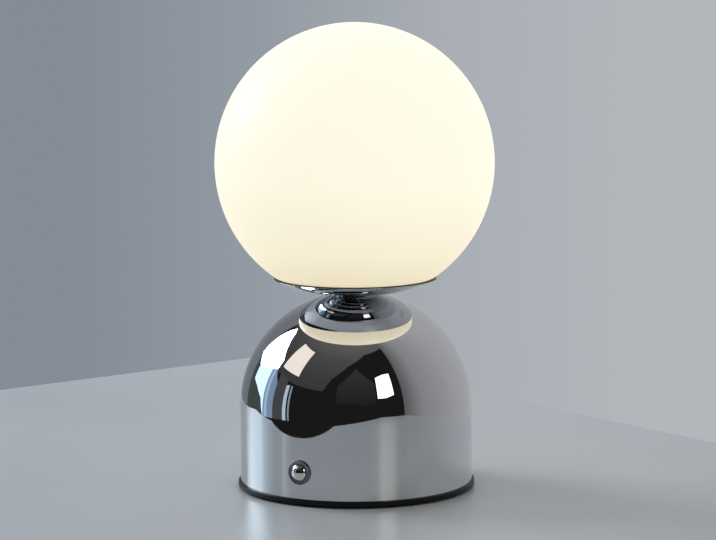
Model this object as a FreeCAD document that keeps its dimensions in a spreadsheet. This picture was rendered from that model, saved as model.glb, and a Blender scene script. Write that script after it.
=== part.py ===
import FreeCAD, Part
import math
import os
import re
import Sketcher

# A cordless table lamp: an opal glass globe rests in a shallow chromed saucer on a chromed, dome-topped
# drum. The drum holds the ballast, two round cells, the driver board, a charging port at the back and a
# push button in the front wall. Millimetres, +Z up, origin at the centre of the foot's underside, the
# button faces -Y.

doc = FreeCAD.newDocument("globe_lamp")
sheet = doc.addObject("Spreadsheet::Sheet", "sizes")

SIZES = [
    # foot and base plate
    ("foot_proud", 1.0, "how far the black base plate stands out past the shell"),
    ("pad_inset", 2.0, "how far the rubber foot ring stays inside the base plate's rim"),
    ("pad_width", 5.0, "radial width of the foot ring"),
    ("pad_thick", 1.0, "thickness of the foot ring"),
    ("plate_rim", 2.0, "thickness of the base plate's rim"),
    ("plate_floor", 3.0, "thickness of the base plate's floor"),
    ("plate_corner", 0.3, "rounding of the base plate's rim"),
    ("spigot_wall", 1.8, "wall of the ring that centres the shell"),
    ("spigot_rise", 4.0, "height of that ring above the rim"),
    # drum and dome
    ("base_dia", 100.4, "outer diameter of the chromed shell"),
    ("shell_wall", 1.2, "sheet thickness of the shell"),
    ("wall_height", 32.0, "straight height of the shell below the dome"),
    ("land_radius", 10.0, "radius of the flat on the dome's top"),
    ("slip_gap", 0.15, "radial gap of a loose fit"),
    ("face_gap", 0.05, "gap between curved faces that bear on each other"),
    ("overcut", 1.0, "how far a cutter runs past the face that it cuts"),
    # fasteners
    ("screw_dia", 3.0, "shank of the base and chassis screws"),
    ("head_dia", 5.4, "head of those screws"),
    ("head_height", 1.6, "head height of those screws"),
    ("small_screw_dia", 2.0, "shank of the board screws"),
    ("small_head_dia", 3.8, "head of the board screws"),
    ("small_head_height", 1.3, "head height of the board screws"),
    # lugs that hold the shell down
    ("lug_screw_inset", 7.95, "distance of a base screw from its lug's outer face"),
    ("lug_sheet", 1.3, "sheet thickness of a lug"),
    ("lug_depth", 11.75, "radial depth of a lug's foot"),
    ("lug_rise", 8.0, "height of a lug's leg"),
    ("lug_span", 12.0, "angle that a lug covers, in degrees"),
    ("boss_dia", 7.6, "diameter of the base plate's screw bosses"),
    ("base_screw_length", 6.6, "shank length of a base screw"),
    # ballast and chassis
    ("ballast_gap", 0.7, "radial gap between the steel ballast disc and the lugs"),
    ("ballast_thick", 6.0, "thickness of the ballast disc"),
    ("chassis_gap", 4.65, "radial gap between the chassis floor and the lugs' legs"),
    ("chassis_floor", 2.0, "thickness of the chassis floor"),
    ("chassis_screw_inset", 5.6, "distance of a chassis screw from the ballast disc's edge"),
    ("chassis_screw_length", 9.6, "shank length of a chassis screw"),
    ("rib_thick", 2.0, "thickness of the chassis walls and ribs"),
    ("rib_place", 18.0, "distance of the cell ribs from the middle"),
    # cells
    ("cell_dia", 18.3, "diameter of a cell"),
    ("cell_length", 65.0, "length of a cell with its nub"),
    ("cell_pitch", 19.0, "distance between the cells' axes"),
    ("cell_lift", 0.6, "height of the cells above the chassis floor"),
    ("nub_dia", 6.0, "diameter of a cell's nub"),
    ("nub_length", 1.0, "length of a cell's nub"),
    ("contact_thick", 0.5, "thickness of the contact strips"),
    ("contact_width", 13.0, "width of a contact strip"),
    # driver board
    ("board_long", 60.0, "driver board along X"),
    ("board_wide", 54.0, "driver board along Y"),
    ("board_thick", 1.6, "thickness of the driver board"),
    ("board_gap", 3.0, "height of the driver board above the cells"),
    ("post_dia", 6.0, "diameter of a board post"),
    ("post_inset", 3.4, "distance of a post's centre from the board's edges"),
    ("board_screw_length", 7.0, "shank length of a board screw"),
    ("cap_dia", 8.0, "diameter of a capacitor can"),
    ("cap_tall", 11.0, "height of a capacitor can"),
    ("coil_size", 10.0, "side of the inductor"),
    ("coil_tall", 4.5, "height of the inductor"),
    ("header_wide", 7.4, "width of a wire header"),
    ("header_deep", 5.0, "depth of a wire header"),
    ("header_tall", 5.6, "height of a wire header"),
    ("header_wall", 0.7, "wall of a wire header"),
    ("header_floor", 2.0, "thickness of a wire header's floor"),
    ("chip_side", 7.0, "side of the driver's largest chip"),
    ("chip_tall", 0.9, "height of that chip"),
    # charging port
    ("port_height", 16.0, "height of the charging port above the table"),
    ("port_wide", 8.94, "width of the port's metal shell"),
    ("port_tall", 3.26, "height of the port's metal shell"),
    ("port_deep", 7.35, "depth of the port's metal shell"),
    ("port_wall", 0.3, "wall of the port's metal shell"),
    ("tongue_wide", 6.7, "width of the port's tongue"),
    ("tongue_thick", 0.7, "thickness of the port's tongue"),
    ("tongue_long", 4.9, "length of the port's tongue"),
    ("port_back", 1.0, "thickness of the port's back"),
    ("bezel_wall", 0.9, "wall of the port's frame"),
    ("flange_wide", 1.2, "how far the frame's inner flange stands out"),
    ("flange_thick", 1.2, "thickness of that flange"),
    ("sleeve_long", 6.0, "length of the frame before it is trimmed to the shell"),
    ("port_recess", 1.1, "how far the port's mouth lies behind the shell"),
    ("charge_long", 26.0, "charging board along X"),
    ("charge_deep", 14.0, "charging board along Y"),
    ("charge_thick", 1.2, "thickness of the charging board"),
    ("charge_setback", 3.0, "distance of the charging board's edge from the shell"),
    ("charge_screw_inset", 2.6, "distance of its screws from its sides"),
    ("charge_screw_length", 2.9, "shank length of its screws"),
    ("light_offset", 9.5, "indicator light: distance from the port's middle"),
    ("light_dia", 2.0, "diameter of the indicator's light pipe"),
    ("light_deep", 2.0, "depth of the indicator light's package"),
    ("charge_chip_side", 4.0, "side of the charging board's larger chip"),
    ("charge_chip_tall", 1.0, "height of the charging board's chips"),
    # button
    ("button_height", 14.4, "height of the button's axis above the table"),
    ("cap_button_dia", 6.7, "diameter of the button's polished cap"),
    ("crown_rise", 1.5, "height of the cap's crown"),
    ("crown_proud", 0.25, "how far the crown's edge stands out of the ring"),
    ("stem_dia", 3.0, "diameter of the button's stem"),
    ("stem_gap", 0.06, "radial running clearance of the stem"),
    ("cap_gap", 0.1, "radial clearance of the cap in the ring"),
    ("ring_dia", 10.4, "outer diameter of the satin ring"),
    ("ring_proud", 0.9, "how far the ring stands out of the shell"),
    ("ring_dish", 0.3, "depth of the ring's dished face"),
    ("ring_edge", 0.3, "chamfer of the ring's outer edge"),
    ("barrel_dia", 8.0, "diameter of the ring's threaded barrel"),
    ("barrel_long", 6.7, "length of the barrel behind the shell's outer face"),
    ("web_thick", 1.4, "thickness of the barrel's inner end"),
    ("press", 0.8, "travel of the button"),
    ("cap_long", 3.1, "length of the cap behind the ring's face"),
    ("spring_wire", 0.4, "wire diameter of the button spring"),
    ("spring_dia", 4.75, "mean diameter of the button spring"),
    ("spring_turns", 3.0, "turns of the button spring"),
    ("spring_gap", 0.1, "free play at each end of the button spring"),
    ("button_nut_across", 12.0, "button nut across its flats"),
    ("button_nut_thick", 2.4, "thickness of the button nut"),
    ("button_washer_dia", 12.0, "diameter of the saddle washer"),
    ("button_washer_thick", 1.6, "thickness of the saddle washer at its middle"),
    ("clip_dia", 6.4, "outer diameter of the stem's clip"),
    ("clip_thick", 0.6, "thickness of the stem's clip"),
    ("groove_depth", 0.35, "depth of the clip's groove in the stem"),
    ("stem_tail", 0.9, "stem behind the clip"),
    ("plunger_dia", 3.4, "diameter of the switch's plunger"),
    ("plunger_long", 2.6, "length of the switch's plunger"),
    ("plunger_proud", 1.1, "how far the plunger stands out of the switch"),
    ("switch_side", 6.0, "side of the switch's body"),
    ("switch_deep", 3.6, "depth of the switch's body"),
    ("switch_board_wide", 16.0, "width of the switch's board"),
    ("switch_board_tall", 8.4, "height of the switch's board"),
    ("switch_board_thick", 1.0, "thickness of the switch's board"),
    ("switch_screw_inset", 2.2, "distance of its screws from its sides"),
    # neck
    ("nipple_dia", 10.0, "outer diameter of the threaded tube"),
    ("nipple_bore_dia", 7.0, "bore of the threaded tube"),
    ("nut_across", 14.0, "tube nuts across their flats"),
    ("nut_thick", 3.2, "thickness of a tube nut"),
    ("washer_dia", 17.6, "diameter of the tube washers"),
    ("washer_thick", 1.2, "thickness of the tube washers"),
    ("nipple_spare", 1.6, "thread that stands past each nut"),
    ("neck_dia", 19.6, "diameter of the neck collar"),
    ("neck_height", 1.2, "height of the neck collar"),
    # saucer
    ("saucer_dia", 70.2, "diameter of the saucer's rim"),
    ("saucer_flat_dia", 32.0, "diameter of the saucer's flat middle"),
    ("saucer_depth", 5.1, "rise of the saucer's underside to its rim"),
    ("saucer_sheet", 0.6, "sheet thickness of the saucer"),
    ("saucer_lip", 0.1, "height of the saucer's rim above its underside's edge"),
    # globe and its seat
    ("globe_dia", 120.0, "outer diameter of the glass globe"),
    ("glass_wall", 2.5, "wall of the glass"),
    ("mouth_dia", 67.5, "outer diameter of the globe's cut mouth"),
    ("seat_lift", 0.4, "height of the globe's mouth above the saucer's rim"),
    ("seat_inner_dia", 55.2, "inner diameter of the globe's seat"),
    ("seat_inset", 1.2, "how far the seat stays inside the globe's mouth edge"),
    ("seat_lip_rise", 2.6, "height of the seat's centring lip"),
    ("lip_gap", 0.4, "radial gap between that lip and the glass"),
    ("gasket_inset", 0.15, "how far the seat's gasket stays inside the saucer's rim"),
    # light head
    ("sink_foot_dia", 27.0, "diameter of the heat sink's foot"),
    ("sink_web", 2.0, "thickness of the heat sink's clamped floor"),
    ("sink_flange_dia", 48.0, "diameter of the heat sink's head"),
    ("sink_step", 4.0, "height of the heat sink's foot"),
    ("sink_height", 9.6, "height of the heat sink"),
    ("sink_pocket_dia", 19.6, "pocket for the upper nut"),
    ("led_board_dia", 45.0, "diameter of the light board"),
    ("led_board_thick", 1.0, "thickness of the light board"),
    ("led_board_hole", 8.0, "middle hole of the light board"),
    ("led_circle", 13.5, "radius of the circle of light chips"),
    ("led_long", 3.5, "length of a light chip"),
    ("led_wide", 2.8, "width of a light chip"),
    ("led_tall", 0.7, "height of a light chip"),
    ("led_screw_circle", 19.3, "radius of the circle of light board screws"),
    ("led_screw_length", 5.0, "shank length of a light board screw"),
    ("diffuser_wall", 1.5, "wall of the diffuser"),
    ("diffuser_skirt", 4.2, "how far the diffuser's skirt reaches down the heat sink"),
    ("diffuser_straight", 3.0, "straight height of the diffuser above the heat sink"),
    ("diffuser_rise", 19.0, "height of the diffuser's crown"),
    # leads
    ("cable_dia", 3.4, "diameter of the cable to the light board"),
    ("lead_dia", 1.4, "diameter of the other leads"),
    ("lead_pitch", 2.6, "distance between the two leads of a pair"),
    ("lead_rise", 12.0, "height above the driver board where the leads turn inwards"),
    ("lead_peak", 14.0, "height of the leads' top above the driver board"),
    ("lead_fall", 7.0, "height above the driver board where the leads point straight down"),
    ("cable_lean", 26.0, "height above the driver board where the light's cable leans inwards"),
    ("cable_upright", 36.0, "height above the driver board where that cable stands upright"),
    ("cable_proud", 1.0, "how far that cable stands out of the light board"),
]

# Places and sizes that follow from the sheet, as formulas in the same plain names.
PLACES = {
    "base_radius": "base_dia / 2",
    "foot_radius": "base_radius + foot_proud",
    "shell_bore": "base_radius - shell_wall",
    "pad_outer": "foot_radius - pad_inset",
    "pad_inner": "pad_outer - pad_width",
    "rim_z": "pad_thick + plate_rim",
    "floor_z": "pad_thick + plate_floor",
    "spigot_radius": "shell_bore - slip_gap",
    "dome_z": "rim_z + wall_height",
    "land_z": "dome_z + sqrt(base_radius ^ 2 - land_radius ^ 2)",
    "inner_land_z": "land_z - shell_wall",
    "inner_land_radius": "sqrt(shell_bore ^ 2 - (inner_land_z - dome_z) ^ 2)",
    "lug_z": "rim_z + spigot_rise + 2 * slip_gap",
    "lug_outer": "shell_bore - face_gap",
    "lug_inner": "lug_outer - lug_depth",
    "lug_circle": "lug_outer - lug_screw_inset",
    "ballast_radius": "lug_inner - ballast_gap",
    "chassis_screw_circle": "ballast_radius - chassis_screw_inset",
    "chassis_radius": "lug_outer - lug_sheet - chassis_gap",
    "ballast_top": "floor_z + ballast_thick",
    "chassis_top": "ballast_top + chassis_floor",
    "cell_z": "chassis_top + cell_lift + cell_dia / 2",
    "cell_end": "cell_length / 2",
    "wall_inner": "cell_end + contact_thick + slip_gap",
    "board_z": "cell_z + cell_dia / 2 + board_gap",
    "board_top": "board_z + board_thick",
    "post_x": "board_long / 2 - post_inset",
    "post_y": "board_wide / 2 - post_inset",
    "port_mouth": "base_radius - port_recess",
    "charge_z": "port_height - port_tall / 2 - charge_thick",
    "charge_front": "shell_bore - charge_setback",
    "charge_screw_x": "charge_long / 2 - charge_screw_inset",
    "shelf_y": "charge_front - charge_deep * 0.8",
    "frame_wide": "port_wide + 2 * slip_gap + 2 * bezel_wall",
    "frame_tall": "port_tall + 2 * slip_gap + 2 * bezel_wall",
    "ring_face": "base_radius + ring_proud",
    "barrel_end": "base_radius - barrel_long",
    "cap_radius": "cap_button_dia / 2",
    "cap_bore": "cap_radius + cap_gap",
    "cap_back": "ring_face - cap_long",
    "stem_radius": "stem_dia / 2",
    "stem_end": "barrel_end - face_gap - clip_thick - stem_tail",
    "switch_face": "stem_end - plunger_proud",
    "switch_back": "switch_face - switch_deep",
    "nipple_radius": "nipple_dia / 2",
    "nipple_hole": "nipple_radius + slip_gap",
    "neck_top": "land_z + neck_height",
    "saucer_radius": "saucer_dia / 2",
    "saucer_flat": "saucer_flat_dia / 2",
    "saucer_run": "saucer_radius - saucer_flat",
    "saucer_curve": "(saucer_run ^ 2 + saucer_depth ^ 2) / (2 * saucer_depth)",
    "saucer_inner_curve": "saucer_curve - saucer_sheet",
    "saucer_centre": "neck_top + saucer_curve",
    "saucer_floor": "neck_top + saucer_sheet",
    "saucer_edge": "neck_top + saucer_depth",
    "saucer_top": "saucer_edge + saucer_lip",
    "globe_radius": "globe_dia / 2",
    "glass_bore": "globe_radius - glass_wall",
    "mouth_radius": "mouth_dia / 2",
    "mouth_z": "saucer_edge + seat_lift",
    "globe_z": "mouth_z + sqrt(globe_radius ^ 2 - mouth_radius ^ 2)",
    "mouth_bore": "sqrt(glass_bore ^ 2 - (globe_z - mouth_z) ^ 2)",
    "seat_inner": "seat_inner_dia / 2",
    "seat_outer": "mouth_radius - seat_inset",
    "seat_curve": "saucer_inner_curve - face_gap",
    "sink_top": "saucer_floor + sink_height",
    "led_top": "sink_top + led_board_thick",
    "diffuser_bore": "sink_flange_dia / 2 + slip_gap",
    "diffuser_radius": "diffuser_bore + diffuser_wall",
    "diffuser_shoulder": "sink_top + diffuser_straight",
}

for row, (alias, number, note) in enumerate(SIZES, start=1):
    sheet.set(f"A{row}", note)
    sheet.set(f"B{row}", str(number))
    sheet.setAlias(f"B{row}", alias)
doc.recompute()

ALIASES = {alias for alias, number, note in SIZES}
parts = []


def formula(text):
    """A formula in plain names, as an expression on the sheet's cells."""
    def swap(match):
        word = match.group()
        if word in PLACES:
            return "(" + formula(PLACES[word]) + ")"
        return "sizes." + word if word in ALIASES else word
    return re.sub(r"[a-z][a-z_]*", swap, str(text))


def value(text):
    """The number that a formula gives now."""
    return float(sheet.evalExpression(formula(text)))


def bind(item, **sizes):
    """Ties an object's sizes to formulas."""
    for name, text in sizes.items():
        item.setExpression(name, formula(text))
    return item


def place(item, x=0, y=0, z=0, axis="z"):
    """Puts an object at a point, with its own Z along the named axis."""
    turns = {
        "z": FreeCAD.Rotation(),
        "-z": FreeCAD.Rotation(FreeCAD.Vector(1, 0, 0), 180),
        "y": FreeCAD.Rotation(FreeCAD.Vector(1, 0, 0), -90),
        "-y": FreeCAD.Rotation(FreeCAD.Vector(1, 0, 0), 90),
        "x": FreeCAD.Rotation(FreeCAD.Vector(0, 1, 0), 90),
    }
    item.Placement = FreeCAD.Placement(FreeCAD.Vector(value(x), value(y), value(z)), turns[axis])
    for name, text in (("x", x), ("y", y), ("z", z)):
        item.setExpression("Placement.Base." + name, formula(text))
    return item


def keep(item, label):
    """Marks an object as a sub-part of the lamp."""
    item.Label = label
    parts.append(item)
    return item


# Primitives and booleans

def rod(radius, length, x=0, y=0, z=0, axis="z"):
    item = bind(doc.addObject("Part::Cylinder", "rod"), Radius=radius, Height=length)
    return place(item, x, y, z, axis)


def block(wide, deep, tall, x=0, y=0, z=0):
    """A box centred on x and y, with its bottom at z."""
    item = bind(doc.addObject("Part::Box", "block"), Length=wide, Width=deep, Height=tall)
    return place(item, f"{x} - ({wide}) / 2", f"{y} - ({deep}) / 2", z)


def prism(across, length, x=0, y=0, z=0, axis="z"):
    """A hexagonal bar, measured across its flats."""
    item = doc.addObject("Part::Prism", "prism")
    item.Polygon = 6
    bind(item, Circumradius=f"{across} / 2 / cos(30)", Height=length)
    return place(item, x, y, z, axis)


def fuse(*pieces):
    item = doc.addObject("Part::MultiFuse", "joined")
    item.Shapes = list(pieces)
    return item


def cut(base, *tools):
    item = doc.addObject("Part::Cut", "cut")
    item.Base = base
    item.Tool = tools[0] if len(tools) == 1 else fuse(*tools)
    return item


def common(first, second):
    item = doc.addObject("Part::Common", "overlap")
    item.Base = first
    item.Tool = second
    return item


def group(pieces):
    item = doc.addObject("Part::Compound", "group")
    item.Links = list(pieces)
    return item


# Bodies and sketches

def new_body(name):
    return doc.addObject("PartDesign::Body", name + "_body")


def new_sketch(body, role, lift=None):
    """A sketch on one of the body's own origin planes, moved along its normal by lift."""
    plane = [item for item in body.Origin.OriginFeatures if item.Role == role][0]
    sketch = body.newObject("Sketcher::SketchObject", "sketch")
    sketch.AttachmentSupport = [(plane, "")]
    sketch.MapMode = "FlatFace"
    if lift is not None:
        sketch.setExpression("AttachmentOffset.Base.z", formula(lift))
    return sketch


def hold(sketch, kind, *target):
    """Adds a dimension whose last argument is a formula."""
    *where, text = target
    index = sketch.addConstraint(Sketcher.Constraint(kind, *where, value(text)))
    sketch.setExpression(f"Constraints[{index}]", formula(text))


def arc_centre(start, end, radius, turn):
    """The centre of the short arc from start to end; turn is 1 counter-clockwise, -1 clockwise."""
    chord = end - start
    rise = math.sqrt(max(radius ** 2 - chord.Length ** 2 / 4, 0))
    side = FreeCAD.Vector(-chord.y, chord.x, 0).normalize()
    return (start + end) / 2 + side * rise * turn


def outline(sketch, *corners):
    """A closed outline. A corner is (x, y), or (x, y, radius, turn) where an arc leads up to it."""
    points = [FreeCAD.Vector(value(corner[0]), value(corner[1]), 0) for corner in corners]
    ends = []
    for index, start in enumerate(points):
        following = (index + 1) % len(points)
        end = points[following]
        if len(corners[following]) == 2:
            edge = sketch.addGeometry(Part.LineSegment(start, end), False)
            ends.append((edge, 1, 2))
            continue
        radius, turn = corners[following][2:]
        centre = arc_centre(start, end, value(radius), turn)
        first, last = (start, end) if turn > 0 else (end, start)
        angles = [math.atan2(point.y - centre.y, point.x - centre.x) for point in (first, last)]
        if angles[1] < angles[0]:
            angles[1] += 2 * math.pi
        circle = Part.Circle(centre, FreeCAD.Vector(0, 0, 1), value(radius))
        edge = sketch.addGeometry(Part.ArcOfCircle(circle, *angles), False)
        hold(sketch, "Radius", edge, radius)
        ends.append((edge, 1, 2) if turn > 0 else (edge, 2, 1))
    for index, corner in enumerate(corners):
        edge, start, end = ends[index]
        before, unused, last = ends[index - 1]
        sketch.addConstraint(Sketcher.Constraint("Coincident", before, last, edge, start))
        hold(sketch, "DistanceX", -1, 1, edge, start, corner[0])
        hold(sketch, "DistanceY", -1, 1, edge, start, corner[1])


def circle(sketch, radius, x="0", y="0"):
    shape = Part.Circle(FreeCAD.Vector(value(x), value(y), 0), FreeCAD.Vector(0, 0, 1), value(radius))
    edge = sketch.addGeometry(shape, False)
    hold(sketch, "Radius", edge, radius)
    hold(sketch, "DistanceX", -1, 1, edge, 3, x)
    hold(sketch, "DistanceY", -1, 1, edge, 3, y)


def circles(sketch, radius, spots):
    for x, y in spots:
        circle(sketch, radius, x, y)


def rectangle(sketch, wide, deep, x="0", y="0"):
    left, right = f"{x} - ({wide}) / 2", f"{x} + ({wide}) / 2"
    low, high = f"{y} - ({deep}) / 2", f"{y} + ({deep}) / 2"
    outline(sketch, (left, low), (right, low), (right, high), (left, high))


def revolve(body, sketch, angle=360, midplane=False):
    item = body.newObject("PartDesign::Revolution", "turned")
    item.Profile = sketch
    item.ReferenceAxis = (sketch, ["V_Axis"])
    item.Midplane = midplane
    bind(item, Angle=angle)
    return item


def pad(body, sketch, length):
    item = body.newObject("PartDesign::Pad", "pad")
    item.Profile = sketch
    return bind(item, Length=length)


def pocket(body, sketch, depth, upward=False):
    item = body.newObject("PartDesign::Pocket", "pocket")
    item.Profile = sketch
    item.Reversed = upward
    return bind(item, Length=depth)


def turned(name, *corners):
    """A body turned about Z from an outline in radius and height."""
    body = new_body(name)
    sketch = new_sketch(body, "XZ_Plane")
    outline(sketch, *corners)
    revolve(body, sketch)
    return body


def board(name, wide, deep, thick, z, hole_radius, spots, x="0", y="0"):
    """A circuit board with its screw holes."""
    body = new_body(name)
    sketch = new_sketch(body, "XY_Plane", z)
    rectangle(sketch, wide, deep, x, y)
    circles(sketch, hole_radius, spots)
    pad(body, sketch, thick)
    return body


def spokes(radius, angles):
    """Points on a circle at angles in degrees, as formulas."""
    return [(f"{radius} * cos({angle})", f"{radius} * sin({angle})") for angle in angles]


def corners_of(x, y):
    """The four points at plus and minus x and y, as formulas."""
    return [(f"{sx} * ({x})", f"{sy} * ({y})") for sx in (-1, 1) for sy in (-1, 1)]


# Fasteners

def screw(shank_dia, head_dia, head_height, length, x, y, z, axis="z"):
    """A cap screw: its head's underside is at the point, its shank runs against the axis."""
    shank = rod(f"{shank_dia} / 2", length, z=f"-({length})")
    head = rod(f"{head_dia} / 2", head_height)
    socket = prism(f"{head_dia} * 0.45", head_height, z=f"{head_height} * 0.4")
    return place(cut(fuse(shank, head), socket), x, y, z, axis)


def big_screw(length, x, y, z, axis="z"):
    return screw("screw_dia", "head_dia", "head_height", length, x, y, z, axis)


def small_screw(length, x, y, z, axis="z"):
    return screw("small_screw_dia", "small_head_dia", "small_head_height", length, x, y, z, axis)


def washer(name, dia, thick, bottom):
    return turned(name, ("nipple_hole", bottom), (f"{dia} / 2", bottom),
                  (f"{dia} / 2", f"{bottom} + {thick}"), ("nipple_hole", f"{bottom} + {thick}"))


def tube_nut(bottom):
    bore = rod("nipple_radius + face_gap", "nut_thick + 2 * overcut", z=f"{bottom} - overcut")
    return cut(prism("nut_across", "nut_thick", z=bottom), bore)


# Foot and base plate

LUG_ANGLES = (45, 135, 225, 315)
CHASSIS_ANGLES = (61, 119, 241, 299)
LUG_SPOTS = spokes("lug_circle", LUG_ANGLES)
CHASSIS_SPOTS = spokes("chassis_screw_circle", CHASSIS_ANGLES)
HEAD_ROOM = "head_height + slip_gap"


def make_foot():
    pad_ring = turned("foot_pad", ("pad_inner", "0"), ("pad_outer", "0"),
                      ("pad_outer", "pad_thick"), ("pad_inner", "pad_thick"))
    keep(pad_ring, "foot_pad")

    spigot_top = "rim_z + spigot_rise"
    spigot_inner = "spigot_radius - spigot_wall"
    plate = turned(
        "base_plate",
        ("0", "pad_thick"), ("foot_radius - plate_corner", "pad_thick"),
        ("foot_radius", "pad_thick + plate_corner", "plate_corner", 1),
        ("foot_radius", "rim_z - plate_corner"),
        ("foot_radius - plate_corner", "rim_z", "plate_corner", 1),
        ("spigot_radius", "rim_z"), ("spigot_radius", spigot_top), (spigot_inner, spigot_top),
        (spigot_inner, "floor_z"), ("0", "floor_z"))
    bosses = new_sketch(plate, "XY_Plane", "floor_z")
    circles(bosses, "boss_dia / 2", LUG_SPOTS)
    pad(plate, bosses, "lug_z - floor_z")
    holes = new_sketch(plate, "XY_Plane", "pad_thick")
    circles(holes, "screw_dia / 2 + slip_gap", LUG_SPOTS)
    pocket(plate, holes, "lug_z", upward=True)
    recesses = new_sketch(plate, "XY_Plane", "pad_thick")
    circles(recesses, "head_dia / 2 + slip_gap", LUG_SPOTS)
    pocket(plate, recesses, HEAD_ROOM, upward=True)
    threads = new_sketch(plate, "XY_Plane", "floor_z")
    circles(threads, "screw_dia / 2 + face_gap", CHASSIS_SPOTS)
    pocket(plate, threads, "plate_floor * 0.8")
    keep(plate, "base_plate")

    screws = [big_screw("base_screw_length", x, y, f"pad_thick + {HEAD_ROOM}", "-z")
              for x, y in LUG_SPOTS]
    keep(group(screws), "base_screws")


# Shell and the lugs that hold it down

def slot(wide, tall, length, x, y, z):
    """A bar along Y with round ends in X, centred on x and z, that starts at y."""
    half = f"(({wide}) - ({tall})) / 2"
    middle = block(f"({wide}) - ({tall})", length, tall, x, f"{y} + ({length}) / 2", f"{z} - ({tall}) / 2")
    ends = [rod(f"({tall}) / 2", length, f"{x} + {side} * {half}", y, z, "y") for side in (-1, 1)]
    return fuse(middle, *ends)


def make_shell():
    drawn = turned(
        "dome_shell",
        ("base_radius", "rim_z"), ("base_radius", "dome_z"),
        ("land_radius", "land_z", "base_radius", 1),
        ("nipple_hole", "land_z"), ("nipple_hole", "inner_land_z"),
        ("inner_land_radius", "inner_land_z"),
        ("shell_bore", "dome_z", "shell_bore", -1), ("shell_bore", "rim_z"))
    button_hole = rod("barrel_dia / 2 + slip_gap", "base_radius / 2", 0, "-base_radius - overcut",
                      "button_height", "y")
    port_hole = slot("frame_wide + 2 * slip_gap", "frame_tall + 2 * slip_gap", "base_radius / 2",
                     "0", "base_radius * 0.6", "port_height")
    light_hole = rod("light_dia / 2 + slip_gap", "base_radius / 2", "light_offset",
                     "base_radius * 0.6", "port_height", "y")
    keep(cut(drawn, button_hole, port_hole, light_hole), "dome_shell")

    lugs = []
    for angle in LUG_ANGLES:
        lug = new_body("lug")
        sheet_outline = new_sketch(lug, "XZ_Plane")
        foot_top, leg_top = "lug_z + lug_sheet", "lug_z + lug_rise"
        outline(sheet_outline, ("lug_inner", "lug_z"), ("lug_outer", "lug_z"), ("lug_outer", leg_top),
                ("lug_outer - lug_sheet", leg_top), ("lug_outer - lug_sheet", foot_top),
                ("lug_inner", foot_top))
        revolve(lug, sheet_outline, "lug_span", midplane=True)
        thread = new_sketch(lug, "XY_Plane", foot_top)
        circle(thread, "screw_dia / 2 + face_gap", "lug_circle")
        pocket(lug, thread, "lug_sheet + face_gap")
        lug.Placement = FreeCAD.Placement(
            FreeCAD.Vector(), FreeCAD.Rotation(FreeCAD.Vector(0, 0, 1), angle))
        lugs.append(lug)
    keep(group(lugs), "shell_lugs")


# Ballast, chassis and cells

def make_ballast():
    disc = new_body("ballast")
    sketch = new_sketch(disc, "XY_Plane", "floor_z")
    circle(sketch, "ballast_radius")
    circles(sketch, "screw_dia / 2 + slip_gap", CHASSIS_SPOTS)
    pad(disc, sketch, "ballast_thick")
    keep(disc, "ballast_disc")


def make_chassis():
    wall = "rib_thick"
    floor = rod("chassis_radius", "chassis_floor", z="ballast_top")
    wall_tall = "cell_z - chassis_top"
    end_walls = [block(wall, "2 * cell_pitch", wall_tall, f"{side} * (wall_inner + {wall} / 2)", "0",
                       "chassis_top") for side in (-1, 1)]
    ribs = [block(wall, "cell_pitch + cell_dia", "cell_dia / 3", f"{side} * rib_place", "0",
                  "chassis_top") for side in (-1, 1)]
    switch_wall = block("switch_board_wide", wall, "button_height + switch_board_tall / 2 - chassis_top",
                        "0", f"-(switch_back - switch_board_thick - {wall} / 2)", "chassis_top")
    posts = [rod("post_dia / 2", "board_z - chassis_top", x, y, "chassis_top")
             for x, y in corners_of("post_x", "post_y")]
    shelves = [block("2 * charge_screw_inset", "2 * charge_screw_inset", "charge_z - chassis_top",
                     f"{side} * charge_screw_x", "shelf_y", "chassis_top") for side in (-1, 1)]
    shelf_holes = [rod("small_screw_dia / 2 + face_gap", "charge_screw_length + slip_gap",
                       f"{side} * charge_screw_x", "shelf_y",
                       "charge_z + charge_thick - charge_screw_length - slip_gap") for side in (-1, 1)]
    saddles = [rod("cell_dia / 2 + slip_gap", "cell_length", "-cell_end",
                   f"{side} * cell_pitch / 2", "cell_z", "x") for side in (-1, 1)]
    notch_deep = "(chassis_radius - (switch_back - switch_board_thick))"
    through, under = "chassis_floor + 2 * overcut", "ballast_top - overcut"
    notch = block("switch_board_wide + 2 * overcut", notch_deep, through, "0",
                  f"-(chassis_radius - {notch_deep} / 2)", under)
    screw_holes = [rod("screw_dia / 2 + slip_gap", through, x, y, under) for x, y in CHASSIS_SPOTS]
    post_holes = [rod("small_screw_dia / 2 + face_gap", "board_screw_length", x, y,
                      "board_top - board_screw_length") for x, y in corners_of("post_x", "post_y")]
    switch_holes = [rod("small_screw_dia / 2 + face_gap", f"{wall} + overcut", x,
                        f"-(switch_back - switch_board_thick)", z, "y") for x, z in SWITCH_SPOTS]
    solid = fuse(floor, *end_walls, *ribs, switch_wall, *posts, *shelves)
    keep(cut(solid, notch, *saddles, *screw_holes, *post_holes, *shelf_holes,
             *switch_holes), "chassis")
    screws = [big_screw("chassis_screw_length", x, y, "chassis_top") for x, y in CHASSIS_SPOTS]
    keep(group(screws), "chassis_screws")


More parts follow.
